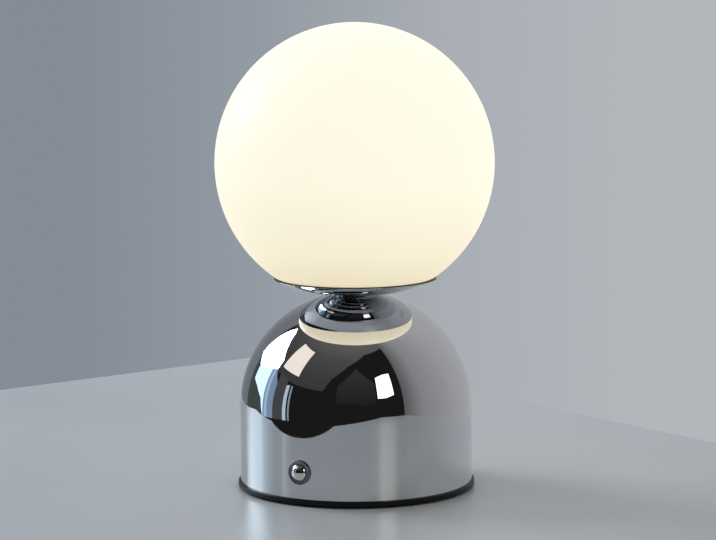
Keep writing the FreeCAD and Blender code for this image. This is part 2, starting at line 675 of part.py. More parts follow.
def make_cells():
    cells = []
    for side in (-1, 1):
        y = f"{side} * cell_pitch / 2"
        can_start = "-cell_end" if side < 0 else "-cell_end + nub_length"
        can = rod("cell_dia / 2", "cell_length - nub_length", can_start, y, "cell_z", "x")
        nub_start = "cell_end - nub_length" if side < 0 else "-cell_end"
        nub = rod("nub_dia / 2", "nub_length", nub_start, y, "cell_z", "x")
        cells.append(fuse(can, nub))
    keep(group(cells), "battery_cells")

    tall = "cell_dia * 0.8"
    bottom = "cell_z - cell_dia * 0.3"
    strip_x = "cell_end + contact_thick / 2"
    bridge = block("contact_thick", "cell_pitch + contact_width * 0.5", tall, f"-({strip_x})", "0", bottom)
    tabs = [block("contact_thick", "contact_width", tall, strip_x, f"{side} * cell_pitch / 2", bottom)
            for side in (-1, 1)]
    keep(group([bridge, *tabs]), "battery_contacts")

    foam = block("cell_length * 0.6", "cell_pitch", "board_gap - 2 * face_gap", "0", "0",
                 "cell_z + cell_dia / 2 + face_gap")
    keep(foam, "battery_foam")


# Driver board

HEADERS = {
    "light": ("board_long * 0.13", "board_wide * 0.3"),
    "cells": ("board_long * 0.3", "board_wide * 0.15"),
    "switch": ("board_long * 0.1", "-board_wide * 0.37"),
    "charge": ("-board_long * 0.1", "board_wide * 0.37"),
}

# The driver's chips: sides and height as shares of the largest one's, then their places as shares of the
# board's sides.
DRIVER_CHIPS = ((1, 1, 1, -0.03, -0.07), (0.7, 0.6, 1.5, 0.07, 0.11), (0.4, 0.4, 0.9, -0.1, -0.26),
                (0.7, 0.6, 1.5, 0.13, -0.11), (0.34, 0.23, 1.1, 0.02, -0.26))


def make_driver():
    spots = corners_of("post_x", "post_y")
    driver = board("main_board", "board_long", "board_wide", "board_thick", "board_z",
                   "small_screw_dia / 2 + slip_gap", spots)
    keep(driver, "main_board")
    screws = [small_screw("board_screw_length", x, y, "board_top") for x, y in spots]
    keep(group(screws), "main_board_screws")

    coil_x, coil_y = "-board_long * 0.23", "board_wide * 0.22"
    core = block("coil_size", "coil_size", "coil_tall", coil_x, coil_y, "board_top")
    ring = rod("coil_size * 0.4", "coil_tall * 1.1", coil_x, coil_y, "board_top")
    keep(fuse(core, ring), "driver_inductor")
    cans = [rod("cap_dia / 2", "cap_tall", "-board_long * 0.3", y, "board_top")
            for y in ("-cap_dia / 8", "-cap_dia * 1.25")]
    keep(group(cans), "driver_capacitors")
    chips = [block(f"chip_side * {wide}", f"chip_side * {deep}", f"chip_tall * {tall}",
                   f"board_long * {across}", f"board_wide * {along}", "board_top")
             for wide, deep, tall, across, along in DRIVER_CHIPS]
    keep(group(chips), "driver_chips")
    shells = []
    for x, y in HEADERS.values():
        outer = block("header_wide", "header_deep", "header_tall", x, y, "board_top")
        well = block("header_wide - 2 * header_wall", "header_deep - 2 * header_wall", "header_tall", x, y,
                     "board_top + header_floor")
        shells.append(cut(outer, well))
    keep(group(shells), "wire_headers")


# Charging port

def make_port():
    spots = [(f"{side} * charge_screw_x", "shelf_y") for side in (-1, 1)]
    charge = board("charge_board", "charge_long", "charge_deep", "charge_thick", "charge_z",
                   "small_screw_dia / 2 + slip_gap", spots, "0", "charge_front - charge_deep / 2")
    keep(charge, "charge_board")
    screws = [small_screw("charge_screw_length", x, y, "charge_z + charge_thick") for x, y in spots]
    keep(group(screws), "charge_board_screws")

    start = "port_mouth - port_deep"
    tube = slot("port_wide", "port_tall", "port_deep", "0", start, "port_height")
    cavity = slot("port_wide - 2 * port_wall", "port_tall - 2 * port_wall", "port_deep",
                  "0", f"{start} + port_back", "port_height")
    keep(cut(tube, cavity), "usb_shell")
    tongue = block("tongue_wide", "tongue_long", "tongue_thick", "0",
                   f"{start} + port_back + tongue_long / 2", "port_height - tongue_thick / 2")
    keep(tongue, "usb_tongue")

    flange_back = "sqrt(shell_bore ^ 2 - (frame_wide / 2 + flange_wide) ^ 2) - flange_thick"
    sleeve = slot("frame_wide", "frame_tall", "sleeve_long", "0", flange_back, "port_height")
    outer_face = rod("base_radius", "wall_height", z="rim_z")
    flange = slot("frame_wide + 2 * flange_wide", "frame_tall + 2 * flange_wide", "sleeve_long", "0",
                  flange_back, "port_height")
    inner_face = rod("shell_bore - face_gap", "wall_height", z="rim_z")
    opening = slot("port_wide + 2 * slip_gap", "port_tall + 2 * slip_gap", "2 * sleeve_long", "0",
                   f"{flange_back} - overcut", "port_height")
    keep(cut(fuse(common(sleeve, outer_face), common(flange, inner_face)), opening), "port_bezel")

    pipe_start = "charge_front - charge_deep * 0.45"
    pipe = rod("light_dia / 2", "charge_deep", "light_offset", pipe_start, "port_height", "y")
    outer_skin = rod("base_radius - face_gap", "wall_height", z="rim_z")
    keep(common(pipe, outer_skin), "indicator_lens")
    lamp_tall = "port_height + light_dia / 2 - (charge_z + charge_thick)"
    lamp = block("light_dia", "light_deep", lamp_tall, "light_offset",
                 f"{pipe_start} - light_deep / 2 - face_gap", "charge_z + charge_thick")
    keep(lamp, "indicator_led")
    chip_z = "charge_z + charge_thick"
    chips = [block(f"charge_chip_side * {wide}", "charge_chip_side * 0.75", "charge_chip_tall",
                   f"charge_long * {across}", f"charge_front - charge_deep * {back}", chip_z)
             for wide, across, back in ((1, 0.04, 0.75), (0.75, 0.23, 0.82))]
    keep(group(chips), "charge_chips")


# Button and switch. Distances from the lamp's axis are counted outwards, so a place on the front is -y.

SWITCH_SPOTS = [(f"{side} * (switch_board_wide / 2 - switch_screw_inset)", "button_height")
                for side in (-1, 1)]


def front_turned(name, *corners):
    """A body turned about the button's axis, from an outline in radius and distance outwards."""
    body = new_body(name)
    sketch = new_sketch(body, "XZ_Plane")
    outline(sketch, *corners)
    revolve(body, sketch)
    return place(body, 0, 0, "button_height", "-y")


def make_button():
    edge = "ring_face"
    floor = "barrel_end + web_thick"
    ring = front_turned(
        "button_bezel",
        ("stem_radius + stem_gap", "barrel_end"), ("barrel_dia / 2", "barrel_end"),
        ("barrel_dia / 2", "shell_bore - overcut"), ("ring_dia / 2", "shell_bore - overcut"),
        ("ring_dia / 2", f"{edge} - ring_edge"), ("ring_dia / 2 - ring_edge", edge),
        ("cap_bore", f"{edge} - ring_dish"), ("cap_bore", floor), ("stem_radius + stem_gap", floor))
    wall = rod("base_radius + face_gap", "ring_dia * 2", z="button_height - ring_dia")
    barrel = rod("barrel_dia / 2", "base_radius", 0, "-base_radius - face_gap", "button_height", "y")
    keep(cut(ring, cut(wall, barrel)), "button_bezel")

    inner_wall = rod("shell_bore - face_gap", "ring_dia * 2", z="button_height - ring_dia")
    washer_back = "shell_bore - button_washer_thick"
    disc = rod("button_washer_dia / 2", "button_washer_thick + overcut", 0, f"-({washer_back})",
               "button_height", "-y")
    bore = rod("barrel_dia / 2 + face_gap", "base_radius", 0, "-base_radius", "button_height", "y")
    keep(cut(common(disc, inner_wall), bore), "button_washer")
    nut = prism("button_nut_across", "button_nut_thick", 0, f"-({washer_back} - button_nut_thick)",
                "button_height", "-y")
    nut_bore = rod("barrel_dia / 2 + face_gap", "base_radius", 0, "-base_radius", "button_height", "y")
    keep(cut(nut, nut_bore), "button_nut")

    crown_edge = "ring_face + crown_proud"
    crown_curve = "(cap_radius ^ 2 + crown_rise ^ 2) / (2 * crown_rise)"
    groove_front = "barrel_end - face_gap"
    groove_back = f"{groove_front} - clip_thick"
    groove = "stem_radius - groove_depth"
    cap = front_turned(
        "button_cap",
        ("0", "stem_end"), ("stem_radius", "stem_end"), ("stem_radius", groove_back),
        (groove, groove_back), (groove, groove_front), ("stem_radius", groove_front),
        ("stem_radius", "cap_back"), ("cap_radius", "cap_back"), ("cap_radius", crown_edge),
        ("0", f"{crown_edge} + crown_rise", crown_curve, 1))
    keep(cap, "button_cap")

    clip = rod("clip_dia / 2", "clip_thick", 0, f"-({groove_back})", "button_height", "-y")
    through = "clip_thick + 2 * overcut"
    eye = rod(f"{groove} + face_gap", through, 0, f"-({groove_back} - overcut)", "button_height", "-y")
    mouth = block(f"2 * ({groove}) * 0.8", through, "clip_dia", "0",
                  f"-({groove_back} + clip_thick / 2)", "button_height")
    keep(cut(clip, eye, mouth), "button_clip")

    coil_length = f"cap_back - ({floor}) - spring_wire - 2 * spring_gap"
    coil_radius = "spring_dia / 2"
    helix = bind(doc.addObject("Part::Helix", "coil"), Radius=coil_radius, Height=coil_length,
                 Pitch=f"({coil_length}) / spring_turns")
    wire = bind(doc.addObject("Part::Circle", "wire"), Radius="spring_wire / 2")
    place(wire, coil_radius, 0, 0, "-y")
    spring = doc.addObject("Part::Sweep", "spring")
    spring.Sections = [wire]
    spring.Spine = helix
    spring.Solid = True
    spring.Frenet = True
    place(spring, 0, f"-({floor} + spring_wire / 2 + spring_gap)", "button_height", "-y")
    keep(spring, "button_spring")


def make_switch():
    plunger = rod("plunger_dia / 2", "plunger_long", 0, "-(stem_end - face_gap - plunger_long)",
                  "button_height", "-y")
    keep(plunger, "switch_plunger")
    housing = block("switch_side", "switch_deep", "switch_side", "0",
                    "-(switch_back + switch_deep / 2)", "button_height - switch_side / 2")
    well_floor = "stem_end - face_gap - plunger_long - press - 2 * face_gap"
    well = rod("plunger_dia / 2 + stem_gap", "switch_deep", 0, f"-({well_floor})", "button_height", "-y")
    keep(cut(housing, well), "switch_body")
    plate = block("switch_board_wide", "switch_board_thick", "switch_board_tall", "0",
                  "-(switch_back - switch_board_thick / 2)", "button_height - switch_board_tall / 2")
    holes = [rod("small_screw_dia / 2 + slip_gap", "switch_board_thick + 2 * overcut", x,
                 "-(switch_back + overcut)", z, "y") for x, z in SWITCH_SPOTS]
    keep(cut(plate, *holes), "switch_board")
    screws = [small_screw("switch_board_thick + rib_thick", x, "-switch_back", z, "-y")
              for x, z in SWITCH_SPOTS]
    keep(group(screws), "switch_screws")


# Neck, saucer and light head

def make_neck():
    lower_washer = "inner_land_z - washer_thick"
    lower_nut = f"{lower_washer} - nut_thick"
    upper_washer = "saucer_floor + sink_web"
    upper_nut = f"{upper_washer} + washer_thick"
    low, high = f"{lower_nut} - nipple_spare", f"{upper_nut} + nut_thick + nipple_spare"
    bore = "nipple_bore_dia / 2"
    keep(turned("nipple", (bore, low), ("nipple_radius", low), ("nipple_radius", high), (bore, high)),
         "nipple")
    keep(washer("lower_washer", "washer_dia", "washer_thick", lower_washer), "lower_washer")
    keep(tube_nut(lower_nut), "lower_nut")
    keep(washer("neck_collar", "neck_dia", "neck_height", "land_z"), "neck_collar")
    keep(washer("upper_washer", "washer_dia", "washer_thick", upper_washer), "upper_washer")
    keep(tube_nut(upper_nut), "upper_nut")


def make_saucer():
    inner_edge = "saucer_flat + sqrt(saucer_inner_curve ^ 2 - (saucer_centre - saucer_top) ^ 2)"
    dish = turned(
        "saucer",
        ("nipple_hole", "neck_top"), ("saucer_flat", "neck_top"),
        ("saucer_radius", "saucer_edge", "saucer_curve", 1),
        ("saucer_radius", "saucer_top"), (inner_edge, "saucer_top"),
        ("saucer_flat", "saucer_floor", "saucer_inner_curve", -1), ("nipple_hole", "saucer_floor"))
    keep(dish, "saucer")


def on_saucer(radius):
    """The height, just clear of the saucer's inner face, at a radius outside its flat."""
    return f"saucer_centre - sqrt(seat_curve ^ 2 - ({radius} - saucer_flat) ^ 2)"


def make_seat():
    lip = "mouth_bore - lip_gap"
    gasket, gasket_bottom = "saucer_radius - gasket_inset", "saucer_top + face_gap"
    seat = turned(
        "globe_seat",
        ("seat_inner", on_saucer("seat_inner")),
        ("seat_outer", on_saucer("seat_outer"), "seat_curve", 1),
        ("seat_outer", gasket_bottom), (gasket, gasket_bottom), (gasket, "mouth_z"),
        (lip, "mouth_z"), (lip, "mouth_z + seat_lip_rise"),
        ("seat_inner", "mouth_z + seat_lip_rise"))
    keep(seat, "globe_seat")


LIGHT_CHIPS = 12


def make_light_head():
    foot, head, pocket_radius = "sink_foot_dia / 2", "sink_flange_dia / 2", "sink_pocket_dia / 2"
    sink = turned(
        "heat_sink",
        ("nipple_hole", "saucer_floor"), (foot, "saucer_floor"),
        (foot, "saucer_floor + sink_step"), (head, "saucer_floor + sink_step"), (head, "sink_top"),
        (pocket_radius, "sink_top"), (pocket_radius, "saucer_floor + sink_web"),
        ("nipple_hole", "saucer_floor + sink_web"))
    spots = spokes("led_screw_circle", (90, 210, 330))
    threads = new_sketch(sink, "XY_Plane", "sink_top")
    circles(threads, "small_screw_dia / 2 + face_gap", spots)
    pocket(sink, threads, "led_screw_length")
    keep(sink, "heat_sink")

    plate = new_body("led_board")
    sketch = new_sketch(plate, "XY_Plane", "sink_top")
    circle(sketch, "led_board_dia / 2")
    circle(sketch, "led_board_hole / 2")
    circles(sketch, "small_screw_dia / 2 + slip_gap", spots)
    pad(plate, sketch, "led_board_thick")
    keep(plate, "led_board")
    screws = [small_screw("led_screw_length", x, y, "led_top") for x, y in spots]
    keep(group(screws), "led_board_screws")

    chips = []
    for step in range(LIGHT_CHIPS):
        chip = block("led_long", "led_wide", "led_tall", "led_circle", "0", "0")
        turned_chip = group([chip])
        angle = (step + 0.5) * 360 / LIGHT_CHIPS
        turned_chip.Placement.Rotation = FreeCAD.Rotation(FreeCAD.Vector(0, 0, 1), angle)
        turned_chip.setExpression("Placement.Base.z", formula("led_top"))
        chips.append(turned_chip)
    keep(group(chips), "led_chips")

    shoulder, crown = "diffuser_shoulder", "diffuser_shoulder + diffuser_rise"
    skirt = "sink_top - diffuser_skirt"
    outer_curve = "(diffuser_radius ^ 2 + diffuser_rise ^ 2) / (2 * diffuser_rise)"
    inner_rise = "(diffuser_rise - diffuser_wall)"
    inner_curve = f"(diffuser_bore ^ 2 + {inner_rise} ^ 2) / (2 * {inner_rise})"
    cover = turned(
        "diffuser",
        ("diffuser_bore", skirt), ("diffuser_radius", skirt), ("diffuser_radius", shoulder),
        ("0", crown, outer_curve, 1), ("0", f"{crown} - diffuser_wall"),
        ("diffuser_bore", shoulder, inner_curve, -1))
    keep(cover, "diffuser")


def make_globe():
    globe = turned(
        "glass_globe",
        ("mouth_bore", "mouth_z", "glass_bore", -1), ("mouth_radius", "mouth_z"),
        ("globe_radius", "globe_z", "globe_radius", 1),
        ("0", "globe_z + globe_radius", "globe_radius", 1),
        ("0", "globe_z + glass_bore"), ("glass_bore", "globe_z", "glass_bore", -1))
    keep(globe, "glass_globe")


# Leads: straight runs joined by tangent arcs

BEND_SHARE = 0.45


def lead(corners, dia):
    points = [FreeCAD.Vector(value(x), value(y), value(z)) for x, y, z in corners]
    edges = []
    start = points[0]
    for before, corner, after in zip(points, points[1:], points[2:]):
        inward, outward = corner - before, after - corner
        turn = inward.getAngle(outward)
        shorter = min(inward.Length, outward.Length)
        reach = BEND_SHARE * shorter
        radius = reach / math.tan(turn / 2)
        inward.normalize()
        outward.normalize()
        entry, leave = corner - inward * reach, corner + outward * reach
        middle_way = (outward - inward).normalize()
        centre = corner + middle_way * (radius / math.cos(turn / 2))
        middle = centre - middle_way * radius
        edges += [Part.LineSegment(start, entry).toShape(), Part.Arc(entry, middle, leave).toShape()]
        start = leave
        print(f"lead bend radius {radius:.2f}")
    edges.append(Part.LineSegment(start, points[-1]).toShape())
    path = Part.Wire(edges)
    section = Part.Wire([Part.Circle(points[0], points[1] - points[0], value(dia) / 2).toShape()])
    tube = path.makePipeShell([section], True, True)
    straight = path.Length * math.pi * (value(dia) / 2) ** 2
    print(f"lead length {path.Length:.1f}, volume {tube.Volume:.1f} of {straight:.1f}")
    return tube


def add_leads(label, routes, dia):
    item = doc.addObject("Part::Feature", label)
    shapes = [lead(route, dia) for route in routes]
    item.Shape = shapes[0] if len(shapes) == 1 else Part.makeCompound(shapes)
    keep(item, label)


def make_leads():
    well = "board_top + header_floor + 2 * face_gap"
    rising, peak, falling = "board_top + lead_rise", "board_top + lead_peak", "board_top + lead_fall"
    x, y = HEADERS["light"]
    add_leads("led_cable", [[
        (x, y, well), (x, y, peak), (f"{x} / 2", f"{y} / 2", "board_top + cable_lean"),
        ("0", "0", "board_top + cable_upright"), ("0", "0", "led_top + cable_proud")]], "cable_dia")

    x, y = HEADERS["cells"]
    strip = "cell_end + contact_thick + lead_dia / 2 + face_gap"
    add_leads("battery_leads", [
        [(strip, f"{side} * cell_pitch / 2", "cell_z + nub_dia / 2"),
         (strip, f"{side} * cell_pitch / 2", "board_top + lead_fall / 2"),
         (f"{strip} - 2 * lead_dia", f"{y} + {side} * lead_pitch - lead_dia", rising),
         (f"{x} + lead_dia", f"{y} + {side} * lead_pitch * 0.4", peak),
         (x, f"{y} + {side} * lead_pitch * 0.4", falling), (x, f"{y} + {side} * lead_pitch * 0.4", well)]
        for side in (-1, 1)], "lead_dia")

    x, y = HEADERS["switch"]
    plate = "-(switch_back - switch_board_thick / 2)"
    plate_top = "button_height + switch_board_tall / 2 + face_gap"
    add_leads("switch_leads", [
        [(f"{apart}", plate, plate_top), (f"{apart}", plate, "board_top + lead_dia"),
         (f"{x} * 0.3 + {apart}", "-board_wide / 2 - 4 * lead_dia", rising),
         (f"{x} + {apart}", f"{y} - lead_dia", peak), (f"{x} + {apart}", y, falling),
         (f"{x} + {apart}", y, well)] for apart in ("-lead_pitch / 2", "lead_pitch / 2")], "lead_dia")

    x, y = HEADERS["charge"]
    rear = "charge_front - charge_deep + lead_dia"
    add_leads("charge_leads", [
        [(f"{x} + {apart}", rear, "charge_z + charge_thick + face_gap"),
         (f"{x} + {apart}", rear, "board_top + lead_dia"),
         (f"{x} + {apart}", "board_wide / 2 + 2 * lead_dia", rising),
         (f"{x} + {apart}", f"{y} + lead_dia", peak), (f"{x} + {apart}", y, falling),
         (f"{x} + {apart}", y, well)] for apart in ("-lead_pitch / 2", "lead_pitch / 2")], "lead_dia")


def write_parts():
    doc.recompute()
    for item in doc.Objects:
        if "Invalid" in item.State or "Error" in item.State:
            raise RuntimeError(f"{item.Name} ({item.Label}) is {item.State}")
    os.makedirs("parts", exist_ok=True)
    for item in parts:
        shape = item.Shape
        if shape.isNull() or not shape.isValid():
            raise RuntimeError(f"{item.Label} has no valid shape")
        box = shape.BoundBox
        print(f"{item.Label}: {len(shape.Solids)} solid(s), {shape.Volume:.1f} mm3, "
              f"z {box.ZMin:.2f} to {box.ZMax:.2f}")
        shape.exportStep(f"parts/{item.Label}.step")


make_foot()
make_shell()
make_ballast()
make_chassis()
make_cells()
make_driver()
make_port()
make_button()
make_switch()
make_neck()
make_saucer()
make_seat()
make_light_head()
make_globe()
make_leads()
write_parts()
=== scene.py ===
import math

import bpy
import numpy as np
from mathutils import Matrix, Vector


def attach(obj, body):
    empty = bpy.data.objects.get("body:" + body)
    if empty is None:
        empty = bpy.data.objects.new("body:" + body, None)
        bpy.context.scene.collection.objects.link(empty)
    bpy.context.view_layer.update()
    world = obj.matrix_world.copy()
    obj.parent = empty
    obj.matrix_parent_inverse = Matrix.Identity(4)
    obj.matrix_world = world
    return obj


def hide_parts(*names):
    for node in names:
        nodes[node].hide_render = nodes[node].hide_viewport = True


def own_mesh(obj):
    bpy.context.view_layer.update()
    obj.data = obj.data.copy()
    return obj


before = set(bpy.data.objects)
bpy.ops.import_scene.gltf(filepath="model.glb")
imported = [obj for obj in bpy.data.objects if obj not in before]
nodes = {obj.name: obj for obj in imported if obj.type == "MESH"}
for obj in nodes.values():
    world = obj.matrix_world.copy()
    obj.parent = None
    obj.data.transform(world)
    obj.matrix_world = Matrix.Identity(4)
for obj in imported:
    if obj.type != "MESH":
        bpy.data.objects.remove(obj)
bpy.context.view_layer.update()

# The lamp's main sizes in millimetres, as in the CAD source. Profiles are (radius, height) pairs.
MM = 0.001
WALL_RADIUS, WALL_THICK = 50.2, 1.2
RIM_HEIGHT, DOME_CENTRE, LAND_HEIGHT, LAND_RADIUS = 3.0, 35.0, 84.195, 10.0
TUBE_HOLE = 5.15
PAD_THICK, PAD_OUTER, PAD_WIDTH = 1.0, 49.2, 5.0
NECK_RADIUS, NECK_HEIGHT = 9.8, 1.2
SAUCER_RADIUS, SAUCER_FLAT, SAUCER_DEPTH, SAUCER_SHEET, SAUCER_LIP = 35.1, 16.0, 5.1, 0.6, 0.1
SAUCER_BOTTOM = LAND_HEIGHT + NECK_HEIGHT
GLOBE_RADIUS, GLASS_WALL, MOUTH_RADIUS = 60.0, 2.5, 33.75
MOUTH_HEIGHT = SAUCER_BOTTOM + SAUCER_DEPTH + 0.4
GLOBE_CENTRE = MOUTH_HEIGHT + math.sqrt(GLOBE_RADIUS ** 2 - MOUTH_RADIUS ** 2)
BUTTON_HEIGHT, RING_FACE = 14.4, 51.1
PORT_HEIGHT = 16.0

# Steps round of the large mirrors and the globe, of the parts under the globe, and of the button's two parts.
FINE, MIDDLE, RING_STEPS, CAP_STEPS = 288, 192, 128, 96

# The camera stands this far round from the button's side, and was fitted to the photograph's edges.
FRAME_WIDTH = 716
CAMERA_TURN = math.radians(28.3)
CAMERA_DISTANCE, CAMERA_HEIGHT = 1.19305, 0.24858
CAMERA_PITCH, CAMERA_YAW, CAMERA_ROLL = 0.1288, 0.001, 0.0058
FOCAL_PIXELS, SENSOR_WIDTH = 2792.67, 36.0


# Profiles: lists of chains. A chain is smooth, and two chains meet at a sharp corner.

def arc(centre, radius, start, end, steps):
    """Points on an arc in radius and height, angles in degrees from the outward direction."""
    angles = [math.radians(start + (end - start) * step / steps) for step in range(steps + 1)]
    return [(centre[0] + radius * math.cos(a), centre[1] + radius * math.sin(a)) for a in angles]


def rounded(corners, radii, steps=6):
    """A closed chain of straight runs through corners, each rounded by its own radius."""
    points = []
    count = len(corners)
    for index, radius in enumerate(radii):
        before, corner, after = (Vector(corners[(index + k) % count]) for k in (-1, 0, 1))
        if radius == 0:
            points.append(tuple(corner))
            continue
        inward, outward = (before - corner).normalized(), (after - corner).normalized()
        half = inward.angle(outward) / 2
        reach = radius / math.tan(half)
        centre = corner + (inward + outward).normalized() * (radius / math.sin(half))
        entry, leave = corner + inward * reach, corner + outward * reach
        for step in range(steps + 1):
            spoke = (entry - centre).lerp(leave - centre, step / steps).normalized() * radius
            points.append(tuple(centre + spoke))
    return points + [points[0]]


def directions(chain):
    """The outward normal at every point of a chain whose solid is on its left."""
    points = np.array(chain, float)
    runs = np.diff(points, axis=0)
    lengths = np.linalg.norm(runs, axis=1)
    tangents = np.zeros_like(points)
    tangents[1:-1] = runs[:-1] + runs[1:]
    units = runs / lengths[:, None]
    for end, first, second in ((0, 0, 1), (-1, -1, -2)):
        tangents[end] = units[first]
        if len(runs) > 1 and lengths[first] < 3 * lengths[second]:
            tangents[end] = 1.5 * units[first] - 0.5 * units[second]
    if np.allclose(points[0], points[-1]) and len(points) > 2:
        tangents[0] = tangents[-1] = runs[-1] + runs[0]
    tangents /= np.linalg.norm(tangents, axis=1)[:, None]
    return np.stack([tangents[:, 1], -tangents[:, 0]], axis=1)


def place_piece(name, mesh):
    item = bpy.data.objects.new(name, mesh)
    bpy.context.scene.collection.objects.link(item)
    return item


def lathe(name, chains, steps=256, turn=Matrix.Identity(4)):
    """A turned solid with exact normals, so that polished metal mirrors cleanly."""
    vertices, faces, corner_normals = [], [], []
    index = {}

    def vertex(step, point):
        step = 0 if point[0] < 1e-6 else step % steps
        key = (step, round(point[0], 5), round(point[1], 5))
        if key not in index:
            angle = 2 * math.pi * step / steps
            index[key] = len(vertices)
            vertices.append((point[0] * math.cos(angle) * MM, point[0] * math.sin(angle) * MM, point[1] * MM))
        return index[key]

    for chain in chains:
        normals = directions(chain)
        for step in range(steps):
            for k in range(len(chain) - 1):
                ring = [(step, k), (step + 1, k), (step + 1, k + 1), (step, k + 1)]
                corners, sides = [], []
                for at, row in ring:
                    corner = vertex(at, chain[row])
                    if corner in corners:
                        continue
                    angle = 2 * math.pi * at / steps
                    if chain[row][0] < 1e-6:
                        angle = 2 * math.pi * (step + 0.5) / steps
                    out, up = normals[row]
                    corners.append(corner)
                    sides.append((out * math.cos(angle), out * math.sin(angle), up))
                if len(corners) > 2:
                    faces.append(corners)
                    corner_normals += sides
    mesh = bpy.data.meshes.new(name)
    mesh.from_pydata(vertices, [], faces)
    mesh.polygons.foreach_set("use_smooth", [True] * len(mesh.polygons))
    mesh.normals_split_custom_set(corner_normals)
    mesh.transform(turn)
    mesh.update()
    return place_piece(name, mesh)


def rod_along_y(radius, start, end, x, z, steps=64):
    """A cutter: a rod along Y."""
    turn = Matrix.Translation((x * MM, 0, z * MM)) @ Matrix.Rotation(-math.pi / 2, 4, "X")
    return lathe("cutter", [[(0, start), (radius, start)], [(radius, start), (radius, end)],
                            [(radius, end), (0, end)]], steps, turn)


def slot_along_y(wide, tall, start, end, z, steps=24):
    """A cutter: a bar along Y with round ends."""
    half = wide / 2 - tall / 2
    ring = [(side * half + tall / 2 * math.cos(a), z + tall / 2 * math.sin(a))
            for side, first in ((1, -90), (-1, 90))
            for a in (math.radians(first + 180 * k / steps) for k in range(steps + 1))]
    count = len(ring)
    vertices = [(x * MM, y * MM, height * MM) for y in (start, end) for x, height in ring]
    faces = [list(range(count)), list(range(2 * count - 1, count - 1, -1))]
    faces += [(k, (k + 1) % count, count + (k + 1) % count, count + k)[::-1] for k in range(count)]
    mesh = bpy.data.meshes.new("cutter")
    mesh.from_pydata(vertices, [], faces)
    mesh.update()
    return place_piece("cutter", mesh)


def coil(name, radius, wire, start, end, turns, turn, steps=40, sides=12):
    """A coil of round wire about the local Z axis, with a cap on each end of the wire."""
    count = round(turns * steps)
    slope = math.atan2(end - start, 2 * math.pi * radius * turns)
    vertices = []
    for step in range(count + 1):
        angle = 2 * math.pi * step / steps
        out = Vector((math.cos(angle), math.sin(angle), 0))
        over = Vector((math.sin(angle) * math.sin(slope), -math.cos(angle) * math.sin(slope), math.cos(slope)))
        centre = out * radius + Vector((0, 0, start + (end - start) * step / count))
        for side in range(sides):
            lean = 2 * math.pi * side / sides
            vertices.append((centre + (out * math.cos(lean) + over * math.sin(lean)) * wire / 2) * MM)
    faces = [(k * sides + side, (k + 1) * sides + side, (k + 1) * sides + (side + 1) % sides,
              k * sides + (side + 1) % sides) for k in range(count) for side in range(sides)]
    faces += [tuple(range(sides)), tuple(range(count * sides, (count + 1) * sides))[::-1]]
    mesh = bpy.data.meshes.new(name)
    mesh.from_pydata(vertices, [], faces)
    mesh.polygons.foreach_set("use_smooth", [len(face) == 4 for face in faces])
    mesh.transform(turn)
    mesh.update()
    return place_piece(name, mesh)


def cut_holes(item, cutters):
    """Cuts the cutters out of a piece for good."""
    for cutter in cutters:
        step = item.modifiers.new("hole", "BOOLEAN")
        step.operation, step.solver, step.object = "DIFFERENCE", "EXACT", cutter
    made = bpy.data.meshes.new_from_object(item.evaluated_get(bpy.context.evaluated_depsgraph_get()))
    item.modifiers.clear()
    item.data = made
    for cutter in cutters:
        bpy.data.objects.remove(cutter)


# Points taken at a time, the cosine above which a face looks the profile's way, and its largest gap in metres.
BATCH, SAME_WAY, ON_PROFILE = 4000, 0.8, 0.0004


